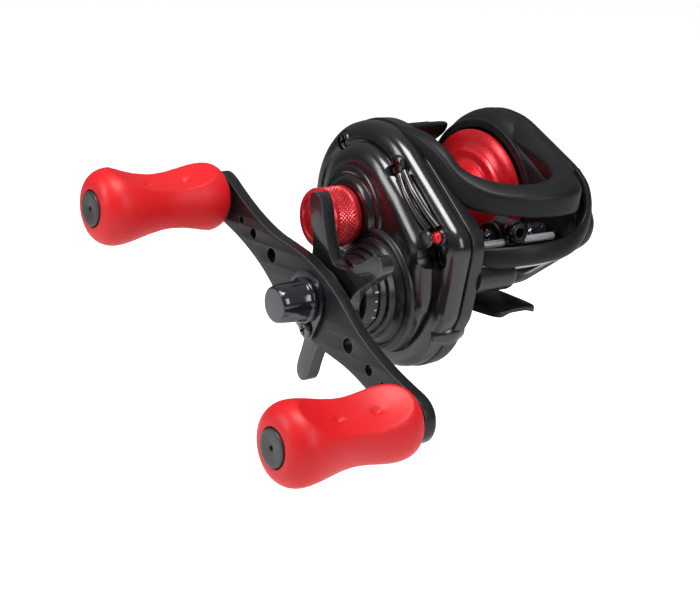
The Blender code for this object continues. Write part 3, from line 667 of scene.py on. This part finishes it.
# (x, grow) of each level, going outwards
BASE_LEVELS = [(16.35, -0.25), (16.6, 0.1), (18.2, 0.25), (19.6, 0.0), (20.5, -0.7),
               (21.2, -1.8), (21.5, -3.0), (21.55, -3.6), (21.2, -4.0)]
TOP_LEVELS = [(21.2, 0.35), (22.4, 0.2), (23.6, -0.4), (24.5, -1.5), (25.0, -3.0),
              (25.2, -4.6), (25.0, -5.6)]
SCREW_TOP = (-8.6, SPOOL_Z + 15.6)
SCREW_MID = (13.4, SPOOL_Z + 13.4)
SCREW_FRONT = (27.6, SPOOL_Z - 5.2)
# (place, floor x, floor radius, mouth radius)
COVER_HOLES = [(SCREW_MID, 21.4, 2.5, 3.1), (SCREW_TOP, 20.0, 2.4, 3.2),
               (SCREW_FRONT, 18.6, 2.4, 4.2)]
# (name, place, face x, radius)
COVER_SCREWS = [("top", SCREW_TOP, 21.2, 2.1), ("mid", SCREW_MID, 23.0, 2.2),
                ("front", SCREW_FRONT, 20.2, 2.1)]

levels = [(x, hull_radii(COVER_BASE, COVER_CENTRE, COVER_COUNT, grow))
          for x, grow in BASE_LEVELS]
limit = levels[-1][1] - 0.12       # keeps the top inside the last level of the base
for x, grow in TOP_LEVELS:
    radii = hull_radii(COVER_TOP, COVER_CENTRE, COVER_COUNT, grow)
    levels.append((x, np.minimum(radii, limit + min(0.0, grow))))
cover = skin("cover_shell", [[(x, y, z) for y, z in polar_ring(COVER_CENTRE, radii)]
                             for x, radii in levels], sharp=24)
cut_away(cover, [lathe(f"cover_hole_{k}", [(floor_x, 0), (floor_x, r), (30, mouth), (30, 0)],
                       at, 40)
                 for k, (at, floor_x, r, mouth) in enumerate(COVER_HOLES)])
put(cover, GLOSS, replaces="handle_side_cover")
for where, at, face, radius in COVER_SCREWS:
    cross_screw("cover_bolt_" + where, at, face, radius, look=GLOSS,
                body=ROOT, replaces="cover_screw_" + where)

BOSS_PROFILE = [
    (23.55, 4.2), (23.55, 12.2), (24.6, 12.0), (25.4, 11.2), (25.6, 10.2), (25.3, 9.4),
    (25.9, 8.9), (26.4, 8.2), (26.4, 5.4), (30.9, 5.4), (30.9, 4.2),
]
put(lathe("cover_cap_boss", BOSS_PROFILE, SPOOL, 120, cut=0.25, ring=True), GLOSS)
TURRET_PROFILE = [
    (23.0, 0), (23.0, 14.6), (25.4, 14.4), (26.1, 13.6), (26.0, 12.7), (25.7, 12.4),
    (26.3, 11.9), (26.9, 11.0), (26.9, 10.6), (27.6, 10.5), (28.4, 10.3), (28.6, 9.9),
    (28.3, 9.5), (29.4, 9.3), (30.0, 9.1), (30.1, 8.8), (29.9, 8.6), (31.6, 8.5),
    (33.2, 8.2), (33.5, 7.8), (33.5, 6.5), (24.0, 6.5), (24.0, 0),
]
put(lathe("cover_turret", TURRET_PROFILE, DRIVE, 144, cut=0.16), SATIN)

# small tick marks on the turret's tapering band, every third one long
TICK_X, TICK_R, TICK_TAPER = 31.0, 8.50, 0.15
BOX_FACES = [(0, 1, 3, 2), (4, 6, 7, 5), (0, 4, 5, 1), (2, 3, 7, 6), (0, 2, 6, 4),
             (1, 5, 7, 3)]
for k in range(7):
    bearing = math.radians(-30 + 14 * k)
    length = 1.5 if k % 3 == 0 else 0.8
    verts = []
    for x in (TICK_X - length / 2 - 0.2, TICK_X + length / 2 - 0.2):
        for turn in (-0.018, 0.018):
            for lift in (-0.1, 0.03):
                reach = TICK_R + lift - (x - TICK_X) * TICK_TAPER
                verts.append((x, *polar(DRIVE, reach, bearing + turn)))
    put(mesh(f"turret_tick_{k}", verts, BOX_FACES), PRINT)

# two ribs from the middle screw down towards the keeper pin: (x, y, z above the spool axis)
RIBS = {
    "a": [(22.6, 14.6, 11.2), (23.6, 18.4, 7.6), (23.3, 22.4, 3.6), (22.6, 25.4, 0.8)],
    "b": [(22.6, 16.2, 12.2), (23.4, 20.6, 8.6), (22.9, 24.8, 4.6), (22.2, 28.0, 1.8)],
}
for letter, path in RIBS.items():
    put(tube("cover_rib_" + letter, [(x, y, SPOOL_Z + z) for x, y, z in path],
             [0.9, 0.75, 0.75, 0.8]), GLOSS)

# keeper pin held between two lugs
KEEPER = (28.2, SPOOL_Z - 0.4)
put(lathe("keeper_pin", [(21.6, 0), (21.6, 1.3), (22.7, 1.35), (23.2, 0.85), (23.8, 0.85),
                         (24.3, 1.35), (25.2, 1.3), (25.2, 0)], KEEPER, 48, cut=0.2),
    RED, replaces="hook_keeper_pin")
for side, start, end in (("inner", 20.6, 22.2), ("outer", 24.9, 26.0)):
    put(lathe("keeper_lug_" + side, [(start, 0), (start, 2.0), (end, 2.0), (end, 0)],
              KEEPER, 48, cut=0.45), GLOSS)

# frame rim that shows between the cover and the spool side
RIM_LEVELS = [(12.7, -1.3), (12.7, 0.1), (13.0, 0.45), (15.6, 0.6), (16.15, 0.5),
              (16.3, 0.2), (16.3, -1.2)]
put(skin("frame_rim", hull_rows(COVER_BASE, COVER_CENTRE, COVER_COUNT, RIM_LEVELS), sharp=30),
    SATIN)

# ------------------------------------------------------------------ palm side
PALM = [(0, SPOOL_Z, 21.7), (25.5, 17.5, 6.2), (20.2, SPOOL_Z + 4.6, 8.4)]   # (y, z, radius)
PALM_CENTRE = (6.0, SPOOL_Z - 0.5)
PALM_COUNT = 216
# (x, grow) round the outside of the ring, and (x, radius) of its bore about the spool axis
RING_LEVELS = [(-19.1, -3.0), (-19.1, -0.6), (-18.9, -0.05), (-18.3, 0.1), (-17.2, 0.0),
               (-16.0, -0.35), (-14.9, -1.0), (-13.9, -1.9), (-13.2, -2.9), (-12.8, -3.7)]
RING_BORE = [(-12.75, 18.6), (-12.9, 18.0), (-13.4, 17.75), (-19.1, 17.7)]
SHELL_LEVELS = [(-19.2, -0.35), (-19.5, -0.05), (-20.4, -0.05), (-21.6, -0.5), (-22.8, -1.5),
                (-23.8, -3.1), (-24.6, -5.4), (-25.1, -8.5), (-25.3, -12.0)]

rows = hull_rows(PALM, PALM_CENTRE, PALM_COUNT, RING_LEVELS)
bearings = [math.atan2(z - SPOOL_Z, y) for _, y, z in rows[-1]]
rows += [[(x, *polar(SPOOL, r, t)) for t in bearings] for x, r in RING_BORE]
put(skin("hood_palm_ring", rows, closed=True, sharp=30), MATTE, replaces="top_hood")
put(skin("palm_shell", hull_rows(PALM, PALM_CENTRE, PALM_COUNT, SHELL_LEVELS), sharp=30),
    MATTE, replaces="palm_side_cover")

# ------------------------------------------------------------------ brake dial
put(lathe("dial_seat", [(-24.4, 0), (-24.4, 7.5), (-25.5, 7.6), (-25.6, 8.4), (-25.3, 9.0),
                        (-24.0, 9.2), (-24.0, 0)], DIAL, 96, cut=0.25), SATIN)


def dial_edge(x, radius, angle):
    """Thirty shallow notches round the rim."""
    return radius - (0.22 if radius > 6.5 and math.cos(30 * angle) > 0.2 else 0.0)


put(lathe("brake_wheel", [(-25.6, 0), (-25.6, 5.6), (-25.75, 5.9), (-25.8, 6.5),
                          (-25.4, 7.1), (-24.5, 7.1), (-24.5, 0)],
          DIAL, 240, cut=0.15, shape=dial_edge, sharp=28),
    RED, "dial", "brake_dial")
GRIP_BAR = [(-5.4, -0.9), (5.0, -0.6), (5.6, 0), (5.0, 0.6), (-5.4, 0.9)]
put(flat("brake_wheel_grip", [(DIAL[0] + y, DIAL[1] + z) for y, z in GRIP_BAR],
         -26.55, -25.5), NUT, "dial")
for k in range(10):
    put(lathe(f"dial_dot_{k}", [(-25.62, 0), (-25.62, 0.32), (-25.35, 0.32), (-25.35, 0)],
              polar(DIAL, 8.3, math.radians(20 + 32 * k)), 16, cut=0.06), PRINT)

# ------------------------------------------------------------------ hood band
# Stations run from the rear of the handle side, round the front, to the palm side.
# Each holds six points (x, y, z above the spool axis) round the section: inner lower
# edge, inner rim, crest, outer rim, outer lower edge, back.
HOOD_STATIONS = [
    [(12.5, -16.5, 6.5), (12.5, -15.4, 10.6), (14.2, -15.6, 12.6),
     (16.5, -15.4, 13.2), (16.6, -14.5, 10.0), (14.4, -14.6, 7.0)],
    [(12.5, -9.0, 12.4), (12.5, -9.2, 15.6), (14.2, -9.4, 17.8),
     (16.8, -9.4, 18.6), (16.8, -8.8, 15.0), (14.4, -9.0, 12.6)],
    [(12.5, -3.5, 14.6), (12.5, -3.7, 17.7), (14.2, -3.7, 20.2),
     (16.9, -3.7, 20.9), (16.9, -3.6, 17.5), (14.4, -3.5, 15.0)],
    [(12.5, 4.0, 13.9), (12.5, 4.0, 17.6), (14.2, 4.0, 20.4),
     (16.9, 4.0, 20.9), (16.9, 4.0, 17.0), (14.4, 4.0, 14.4)],
    [(12.4, 10.5, 12.2), (12.4, 11.0, 18.4), (14.1, 11.4, 20.4),
     (16.6, 11.6, 19.8), (16.6, 11.2, 14.8), (14.2, 10.6, 12.6)],
    [(12.0, 17.2, 10.4), (12.0, 17.8, 16.4), (13.8, 18.8, 17.8),
     (15.8, 19.6, 16.6), (15.8, 19.2, 10.6), (13.8, 17.6, 9.8)],
    [(10.8, 22.0, 9.0), (10.8, 22.0, 12.8), (12.4, 24.2, 13.4),
     (14.2, 26.0, 11.6), (14.2, 25.6, 5.6), (12.4, 23.6, 5.8)],
    [(7.6, 26.2, 8.2), (7.6, 26.0, 11.0), (9.0, 29.2, 11.0),
     (10.4, 32.2, 8.8), (10.2, 31.4, 3.9), (8.8, 28.8, 4.4)],
    [(2.6, 29.9, 7.4), (2.6, 29.6, 9.9), (2.9, 33.4, 10.0),
     (3.3, 36.9, 8.0), (3.2, 35.8, 3.2), (2.8, 33.0, 3.6)],
    [(-3.0, 31.4, 7.4), (-3.0, 31.1, 9.9), (-3.4, 35.0, 10.2),
     (-3.8, 38.9, 8.3), (-3.7, 37.7, 3.1), (-3.2, 34.8, 3.6)],
    [(-8.0, 30.4, 7.9), (-7.8, 30.2, 10.6), (-9.0, 34.2, 11.4),
     (-10.2, 38.0, 9.0), (-10.0, 36.8, 3.0), (-8.8, 33.8, 3.6)],
    [(-11.2, 27.4, 8.4), (-10.8, 27.0, 11.6), (-13.2, 30.4, 12.4),
     (-15.2, 33.2, 9.0), (-15.0, 32.8, 2.8), (-13.4, 30.2, 3.6)],
    [(-13.0, 21.5, 9.6), (-12.6, 21.4, 13.4), (-15.2, 24.4, 14.8),
     (-17.8, 27.6, 11.4), (-18.0, 28.2, 3.2), (-15.6, 25.0, 4.6)],
    [(-14.2, 12.4, 13.0), (-13.2, 12.6, 15.8), (-15.6, 14.2, 18.4),
     (-18.6, 17.6, 17.4), (-19.0, 19.0, 8.0), (-16.2, 15.0, 9.0)],
    [(-15.2, 3.4, 16.4), (-14.4, 3.6, 18.0), (-15.8, 4.6, 20.2),
     (-18.2, 6.0, 20.4), (-18.8, 7.6, 16.6), (-16.6, 6.0, 16.2)],
]
put(skin("hood_band", [[(x, y, SPOOL_Z + z) for x, y, z in facet(section, 0.24)]
                       for section in catmull(HOOD_STATIONS, 8)], sharp=45), MATTE)

# ------------------------------------------------------------------ thumb bar
# (y, z above the spool axis) round the section
THUMB_SECTION = [
    (-20.9, 3.4), (-22.2, 3.4), (-22.7, 8.0), (-22.5, 12.7), (-20.4, 14.7), (-16.6, 16.6),
    (-12.6, 17.4), (-11.2, 16.7), (-12.8, 14.4), (-17.4, 11.4), (-20.4, 9.6), (-20.9, 7.0),
]
THUMB_TOP_Y, THUMB_TOP_Z = zip(*THUMB_SECTION[3:7])
THUMB_MID = (-16.5, 14.0)          # the section shrinks about this point
# (x, scale of the section)
THUMB_STATIONS = [(-12.35, 0.90), (-12.1, 0.97), (-11.4, 1.0), (-6.0, 1.0), (0.0, 0.985),
                  (6.0, 1.0), (11.4, 1.0), (12.1, 0.97), (12.35, 0.90)]

section = catmull(THUMB_SECTION, 6, close=True)
put(skin("thumb_bar_pad", [[(x, THUMB_MID[0] + (y - THUMB_MID[0]) * scale,
                             SPOOL_Z + THUMB_MID[1] + (z - THUMB_MID[1]) * scale)
                            for y, z in section] for x, scale in THUMB_STATIONS]),
    MATTE, "thumb", "thumb_bar")


def thumb_top(y):
    return float(np.interp(y, THUMB_TOP_Y, THUMB_TOP_Z))


# four low ribs across the top, each tilted to the slope beneath it
THUMB_RIB = [(-9.5, -0.22), (9.5, -0.22), (9.8, 0), (9.5, 0.22), (-9.5, 0.22), (-9.8, 0)]
for k in range(4):
    y = -20.2 + 1.5 * k
    z = SPOOL_Z + thumb_top(y) + 0.02
    lean = math.atan2(thumb_top(y + 0.6) - thumb_top(y - 0.6), 1.2)
    rib = flat(f"thumb_rib_{k}", THUMB_RIB, -0.12, 0.28, bevel=0.1, plane="XY")
    rib.data.transform(Matrix.Rotation(lean, 4, "X"))
    rib.data.transform(Matrix.Translation((0, y * MM, z * MM)))
    put(rib, MATTE, "thumb")

# ------------------------------------------------------------------ spool
# (x, radius) of one flange, outer face to drum; mirrored for the other
FLANGE = [
    (12.3, 8.6), (12.3, 15.9), (12.25, 16.6), (11.9, 17.0), (11.4, 17.0), (11.1, 16.7),
    (10.6, 14.8), (9.9, 12.9), (9.5, 12.5), (8.9, 12.3), (8.7, 11.9), (8.65, 10.8),
    (8.3, 10.1), (7.7, 9.6),
]
SPOOL_INSIDE = [(-9.2, 8.0), (-8.4, 7.0), (-8.4, 1.6), (8.4, 1.6), (8.4, 7.0), (9.2, 8.0)]
TIE_HOLE_X = -4.5

spool = lathe("spool_drum", FLANGE + [(-x, r) for x, r in FLANGE[::-1]] + SPOOL_INSIDE,
              SPOOL, 168, ring=True, sharp=32)
tie_holes = []
for k in range(4):
    drill = lathe(f"tie_{k}", [(3.0, 0), (3.0, 1.0), (12.0, 1.0), (12.0, 0)], (0, 0), 28,
                  axis="Y")
    drill.data.transform(Matrix.Translation((TIE_HOLE_X * MM, 0, 0)))
    drill.data.transform(Matrix.Rotation(math.radians(50 + 90 * k), 4, "X"))
    drill.data.transform(Matrix.Translation((0, 0, SPOOL_Z * MM)))
    tie_holes.append(drill)
cut_away(spool, tie_holes)
put(spool, RED_SPOOL, "spool_body", "spool")
# dark sleeve inside the drum, painted shade seen through the tie holes
put(lathe("spool_core_shade", [(6.6, 4.9), (6.6, 5.3), (-6.6, 5.3), (-6.6, 4.9)], SPOOL, 64,
          ring=True), HOLE_SHADE, "spool_body")

# ------------------------------------------------------------------ frame walls and deck
put(lathe("frame_wall_left", [(-14.6, 18.0), (-14.4, 19.4), (-12.7, 19.6), (-12.45, 19.3),
                              (-12.45, 17.6), (-12.8, 17.35), (-14.6, 17.3)],
          SPOOL, 144, ring=True, sharp=30), SATIN, replaces="frame")
wall = flat("frame_wall_front_left",
            hull([(12.0, 12.0, 9.0), (27.0, 17.6, 6.2)], (20.0, 15.0), 96),
            -16.5, -14.4, [circle(WORM, 2.9)], bevel=0.4)
cut_away(wall, [lathe("wall_cutter", [(-18, 0), (-18, 17.9), (-10, 17.9), (-10, 0)],
                      SPOOL, 96)])
put(wall, SATIN)

# curved deck under the spool
deck_angles = [math.radians(v) for v in np.linspace(196, 318, 40)]
deck = [polar(SPOOL, 18.0, t) for t in deck_angles]
deck += [polar(SPOOL, 19.45, t) for t in deck_angles[::-1]]
put(flat("frame_deck", deck, -14.5, 12.8, bevel=0.2), PLASTIC)

# floor under the line guide: (y, z) round the section, shortened towards both sides
FLOOR_SECTION = [(13.4, 11.2), (20.0, 10.4), (28.0, 11.2), (33.5, 13.0), (34.5, 12.2),
                 (33.0, 11.0), (28.0, 9.4), (20.0, 8.9), (13.4, 8.8)]
FLOOR_REAR = 13.4
section = catmull(FLOOR_SECTION, 4, close=True)
rows = []
for x in np.linspace(-15.5, 12.6, 29):
    reach = 1.0 - 0.16 * abs((x + 1.0) / 14.0) ** 2.4
    rows.append([(x, FLOOR_REAR + (y - FLOOR_REAR) * reach, z) for y, z in section])
put(skin("frame_floor", rows), GLOSS)

# ------------------------------------------------------------------ frame lip
# band round the front of the floor and up the palm side: (x, y, z above the spool axis)
LIP_PATH = [
    (14.0, 22.0, -6.6), (13.4, 26.5, -6.3), (11.4, 30.6, -5.8), (8.0, 34.0, -5.4),
    (3.5, 36.4, -5.0), (-1.0, 37.3, -4.7), (-6.0, 37.3, -4.3), (-10.5, 36.2, -3.4),
    (-14.2, 34.6, -1.7), (-16.6, 33.4, 0.9), (-17.7, 32.4, 4.2), (-17.9, 31.0, 7.6),
    (-17.4, 28.5, 10.6),
]
# (outwards, upwards) as shares of the half thickness and half height
LIP_SECTION = [(-1, -0.9), (0.1, -1.0), (0.95, -0.55), (1.0, 0.3), (0.55, 1.0),
               (-0.1, 1.05), (-0.55, 0.7), (-0.9, 0.0)]
LIP_HALF_THICK, LIP_HALF_HEIGHT, LIP_SWELL = 1.25, 2.0, 0.25
LIP_FOCUS_Y = 14.0                 # "outwards" points away from here, at x = 0

path = catmull(LIP_PATH, 6)
rows = []
for i, p in enumerate(path):
    along = path[min(i + 1, len(path) - 1)] - path[max(i - 1, 0)]
    along /= np.linalg.norm(along)
    t = i / (len(path) - 1)
    out = p - np.array((0.0, LIP_FOCUS_Y, p[2]))
    out -= along * (out @ along)
    out /= np.linalg.norm(out)
    upward = np.cross(out, along)
    if upward[2] < 0 and t < 0.7:
        upward = -upward
    # no flip from one section to the next
    if i and upward @ previous < 0:
        upward = -upward
    previous = upward
    half_height = LIP_HALF_HEIGHT + LIP_SWELL * math.sin(math.pi * t)
    section = [p + out * u * LIP_HALF_THICK + upward * v * half_height
               for u, v in LIP_SECTION]
    rows.append([(x, y, SPOOL_Z + z) for x, y, z in catmull(section, 4, close=True)])
put(skin("frame_lip", rows, sharp=60), MATTE)

# pillar under the lip, on the handle side, and its web
put(lathe("frame_pillar", [(13.0, 0), (6.0, 0), (6.0, 2.3), (3.1, 2.4), (2.6, 2.7),
                           (2.6, 3.9), (3.4, 4.1), (13.0, 3.9)], (28.6, 9.4), 96, cut=0.25),
    SATIN)
put(flat("frame_pillar_web", [(22.0, 5.0), (29.5, 6.0), (32.0, 9.0), (31.0, 11.3),
                              (24.0, 11.3), (20.0, 9.0)], 9.6, 12.9, bevel=0.5),
    SATIN)

# ------------------------------------------------------------------ foot
# saddle-shaped plate, rear to front: (y, half width, top height, droop of the sides)
FOOT_STATIONS = [
    (-27.5, 3.2, 0.9, 0.55), (-26.8, 3.9, 1.1, 0.6), (-24.0, 5.0, 1.5, 0.8),
    (-17.0, 5.8, 1.9, 1.0), (-9.0, 6.0, 2.1, 1.0), (9.0, 6.0, 2.1, 1.0),
    (17.0, 5.95, 1.9, 1.0), (24.0, 5.8, 1.6, 1.0), (28.5, 5.6, 1.3, 0.95),
    (30.2, 5.2, 1.1, 0.85), (30.75, 4.6, 0.8, 0.7),
]
FOOT_FLAT = 2.0                    # half width of the flat middle of the underside
FOOT_EDGE = 0.12                   # bulge of the side edges
rows = []
for y, width, height, droop in catmull(FOOT_STATIONS, 5):
    top = [(x, height - 0.55 * droop * (abs(x) / width) ** 2.2)
           for x in np.linspace(-width, width, 13)]
    under = []
    for x in np.linspace(width, -width, 13):
        beyond = max(0.0, (abs(x) - FOOT_FLAT) / (width - FOOT_FLAT))
        under.append((x, max(-1.0, -droop * beyond ** 1.3)))
    right_edge = (width + FOOT_EDGE, (top[-1][1] + under[0][1]) / 2)
    left_edge = (-width - FOOT_EDGE, (top[0][1] + under[-1][1]) / 2)
    rows.append([(x, y, z) for x, z in top + [right_edge] + under + [left_edge]])
put(skin("frame_foot", rows, sharp=45), SATIN)

# short bar low at the front of the handle side
put(tube("cover_lug", [(13.2, 24.2, -3.2), (16.5, 25.0, -3.8), (20.5, 24.2, -4.2)],
         [2.9, 3.0, 2.3]), GLOSS)

# ------------------------------------------------------------------ line guide
NOSE = (0.0, SPOOL_Z - 1.4)        # (x, z) of the guide's axis, which runs along Y
put(lathe("guide_nose", [(23.4, 1.4), (23.4, 3.3), (24.8, 3.1), (26.2, 2.7), (27.2, 2.5),
                         (28.2, 2.8), (29.5, 2.75), (30.0, 2.35), (30.0, 1.4)],
          NOSE, 96, cut=0.25, axis="Y", ring=True, sharp=40),
    GLOSS, "guide", "line_guide")
put(lathe("guide_ring_insert", [(30.08, 1.2), (30.08, 1.62), (29.8, 1.75), (28.0, 1.75),
                                (28.0, 1.2)],
          NOSE, 72, cut=0.1, axis="Y", ring=True, sharp=40),
    DARK_STEEL, "guide", "guide_insert")
# dark disc across the guide's throat, painted shade in the hole
put(lathe("guide_throat_shade", [(27.6, 0.0), (27.6, 1.35), (27.0, 1.35), (27.0, 0.0)],
          NOSE, 32, axis="Y"), HOLE_SHADE, "guide")
put(lathe("guide_sleeve", [(3.2, 2.55), (3.2, 3.7), (2.9, 3.95), (-2.9, 3.95), (-3.2, 3.7),
                           (-3.2, 2.55)], WORM, 72, cut=0.2, ring=True, sharp=40),
    MATTE, "guide")
put(lathe("guide_slider", [(2.6, 0.98), (2.6, 1.75), (-2.6, 1.75), (-2.6, 0.98)],
          RAIL, 48, cut=0.2, ring=True, sharp=40), GLOSS, "guide")

# level-wind worm with crossed grooves
WORM_R, WORM_HALF, WORM_ROWS = 2.3, 12.3, 150
GROOVE_HALF, GROOVE_DEPTH = 11.3, 0.5
GROOVE_TURNS, GROOVE_SPAN = 3.5, 22.0


def crossed_grooves(x, radius, angle):
    if abs(x) > GROOVE_HALF or radius < 2.0:
        return radius
    twist = math.tau * GROOVE_TURNS * x / GROOVE_SPAN
    depth = max(smoothstep(0.72, 0.9, math.cos(angle - hand * twist)) for hand in (1, -1))
    return radius - GROOVE_DEPTH * depth


worm_profile = [(-15.4, 0), (-15.4, 1.6), (-12.5, 1.6), (-12.4, WORM_R)]
worm_profile += [(-WORM_HALF + 2 * WORM_HALF * k / WORM_ROWS, WORM_R)
                 for k in range(WORM_ROWS + 1)]
worm_profile += [(12.4, WORM_R), (12.5, 1.6), (17.4, 1.6), (17.4, 0)]
put(lathe("worm_screw", worm_profile, WORM, 72, shape=crossed_grooves, sharp=40),
    NUT, "worm", "worm_shaft")
put(lathe("guide_rail_bar", [(-12.6, 0), (-12.6, 0.88), (12.6, 0.88), (12.6, 0)],
          RAIL, 48, cut=0.12), POLISHED, replaces="line_guide_rail")

# ------------------------------------------------------------------ floor (metres)
# low enough for the handle to clear it all the way round
lowest = min(CAD_BOX[0][2], (DRIVE[1] - HANDLE_R - 10.5) * MM)
bpy.ops.mesh.primitive_plane_add(size=6, location=(0, 0, lowest - 0.0006))
floor = bpy.context.object
floor.name = "floor"
floor_look = bpy.data.materials.new("floor")
floor_look.use_nodes = True
tree = floor_look.node_tree
shader = tree.nodes["Principled BSDF"]
shader.inputs["Base Color"].default_value = (0.93, 0.93, 0.93, 1)
shader.inputs["Roughness"].default_value = 0.75
shader.inputs["Emission Color"].default_value = (1, 1, 1, 1)
# glows to the camera only, so that it doesn't light the reel
ray = add_node(tree, "ShaderNodeLightPath")
glow = add_node(tree, "ShaderNodeMath", {1: 0.72}, operation="MULTIPLY")
tree.links.new(ray.outputs["Is Camera Ray"], glow.inputs[0])
tree.links.new(glow.outputs[0], shader.inputs["Emission Strength"])
floor.data.materials.append(floor_look)
floor.visible_camera = True

# ------------------------------------------------------------------ world
# brighter towards the top, and plain white to the camera
world = bpy.data.worlds.new("studio")
world.use_nodes = True
tree = world.node_tree
background = tree.nodes["Background"]
background.inputs["Color"].default_value = (1, 1, 1, 1)
coords = add_node(tree, "ShaderNodeTexCoord")
split = add_node(tree, "ShaderNodeSeparateXYZ")
tree.links.new(coords.outputs["Generated"], split.inputs[0])
gradient = map_range(tree, split.outputs["Z"], old=(-0.15, 0.85), new=(0.05, 0.34))
ray = add_node(tree, "ShaderNodeLightPath")
strength = add_node(tree, "ShaderNodeMix", {FLOAT_B: 1.0}, data_type="FLOAT")
tree.links.new(ray.outputs["Is Camera Ray"], strength.inputs[MIX_FACTOR])
tree.links.new(gradient, strength.inputs[FLOAT_A])
tree.links.new(strength.outputs[FLOAT_RESULT], background.inputs["Strength"])
bpy.context.scene.world = world
bpy.context.scene.view_settings.view_transform = "Standard"


# ------------------------------------------------------------------ lights (metres, watts)
def area_light(name, place, aim, width, height, power):
    light = bpy.data.lights.new(name, "AREA")
    light.energy = power
    light.shape = "RECTANGLE"
    light.size = width
    light.size_y = height
    ob = bpy.data.objects.new(name, light)
    ob.location = place
    ob.rotation_euler = (Vector(aim) - Vector(place)).to_track_quat("-Z", "Y").to_euler()
    bpy.context.scene.collection.objects.link(ob)


area_light("key", place=(0.10, 0.10, 0.45), aim=(0.01, 0.01, 0.01),
           width=0.26, height=0.16, power=2.3)
area_light("side", place=(0.42, -0.12, 0.20), aim=(0.02, 0.0, 0.01),
           width=0.12, height=0.26, power=1.0)
area_light("front", place=(-0.05, 0.45, 0.20), aim=(0.0, 0.0, 0.01),
           width=0.14, height=0.26, power=0.7)

# ------------------------------------------------------------------ camera
# looks from the handle side and the front
CAMERA_BEARING = math.radians(53.590)      # from +X towards +Y
CAMERA_RISE = math.radians(14.377)
CAMERA_ROLL = math.radians(1.335)
CAMERA_DISTANCE = 403.472
CAMERA_LEFT, CAMERA_DOWN = 20.437426, 22.826997   # shift within the view plane
LENS, SENSOR = 87.235046, 36.0

back = Vector((math.cos(CAMERA_RISE) * math.cos(CAMERA_BEARING),
               math.cos(CAMERA_RISE) * math.sin(CAMERA_BEARING), math.sin(CAMERA_RISE)))
level = Vector((-math.sin(CAMERA_BEARING), math.cos(CAMERA_BEARING), 0))
upright = back.cross(level)
right = level * math.cos(CAMERA_ROLL) + upright * math.sin(CAMERA_ROLL)
up = -level * math.sin(CAMERA_ROLL) + upright * math.cos(CAMERA_ROLL)
offset = -CAMERA_LEFT * right - CAMERA_DOWN * up + CAMERA_DISTANCE * back
pose = Matrix((right, up, back)).transposed().to_4x4()
pose.translation = offset * MM + Vector((0, 0, SPOOL_Z * MM))

lens = bpy.data.cameras.new("camera")
lens.sensor_width = SENSOR
lens.lens = LENS
lens.clip_start = 0.01
camera = bpy.data.objects.new("camera", lens)
camera.matrix_world = pose
bpy.context.scene.collection.objects.link(camera)
bpy.context.scene.camera = camera
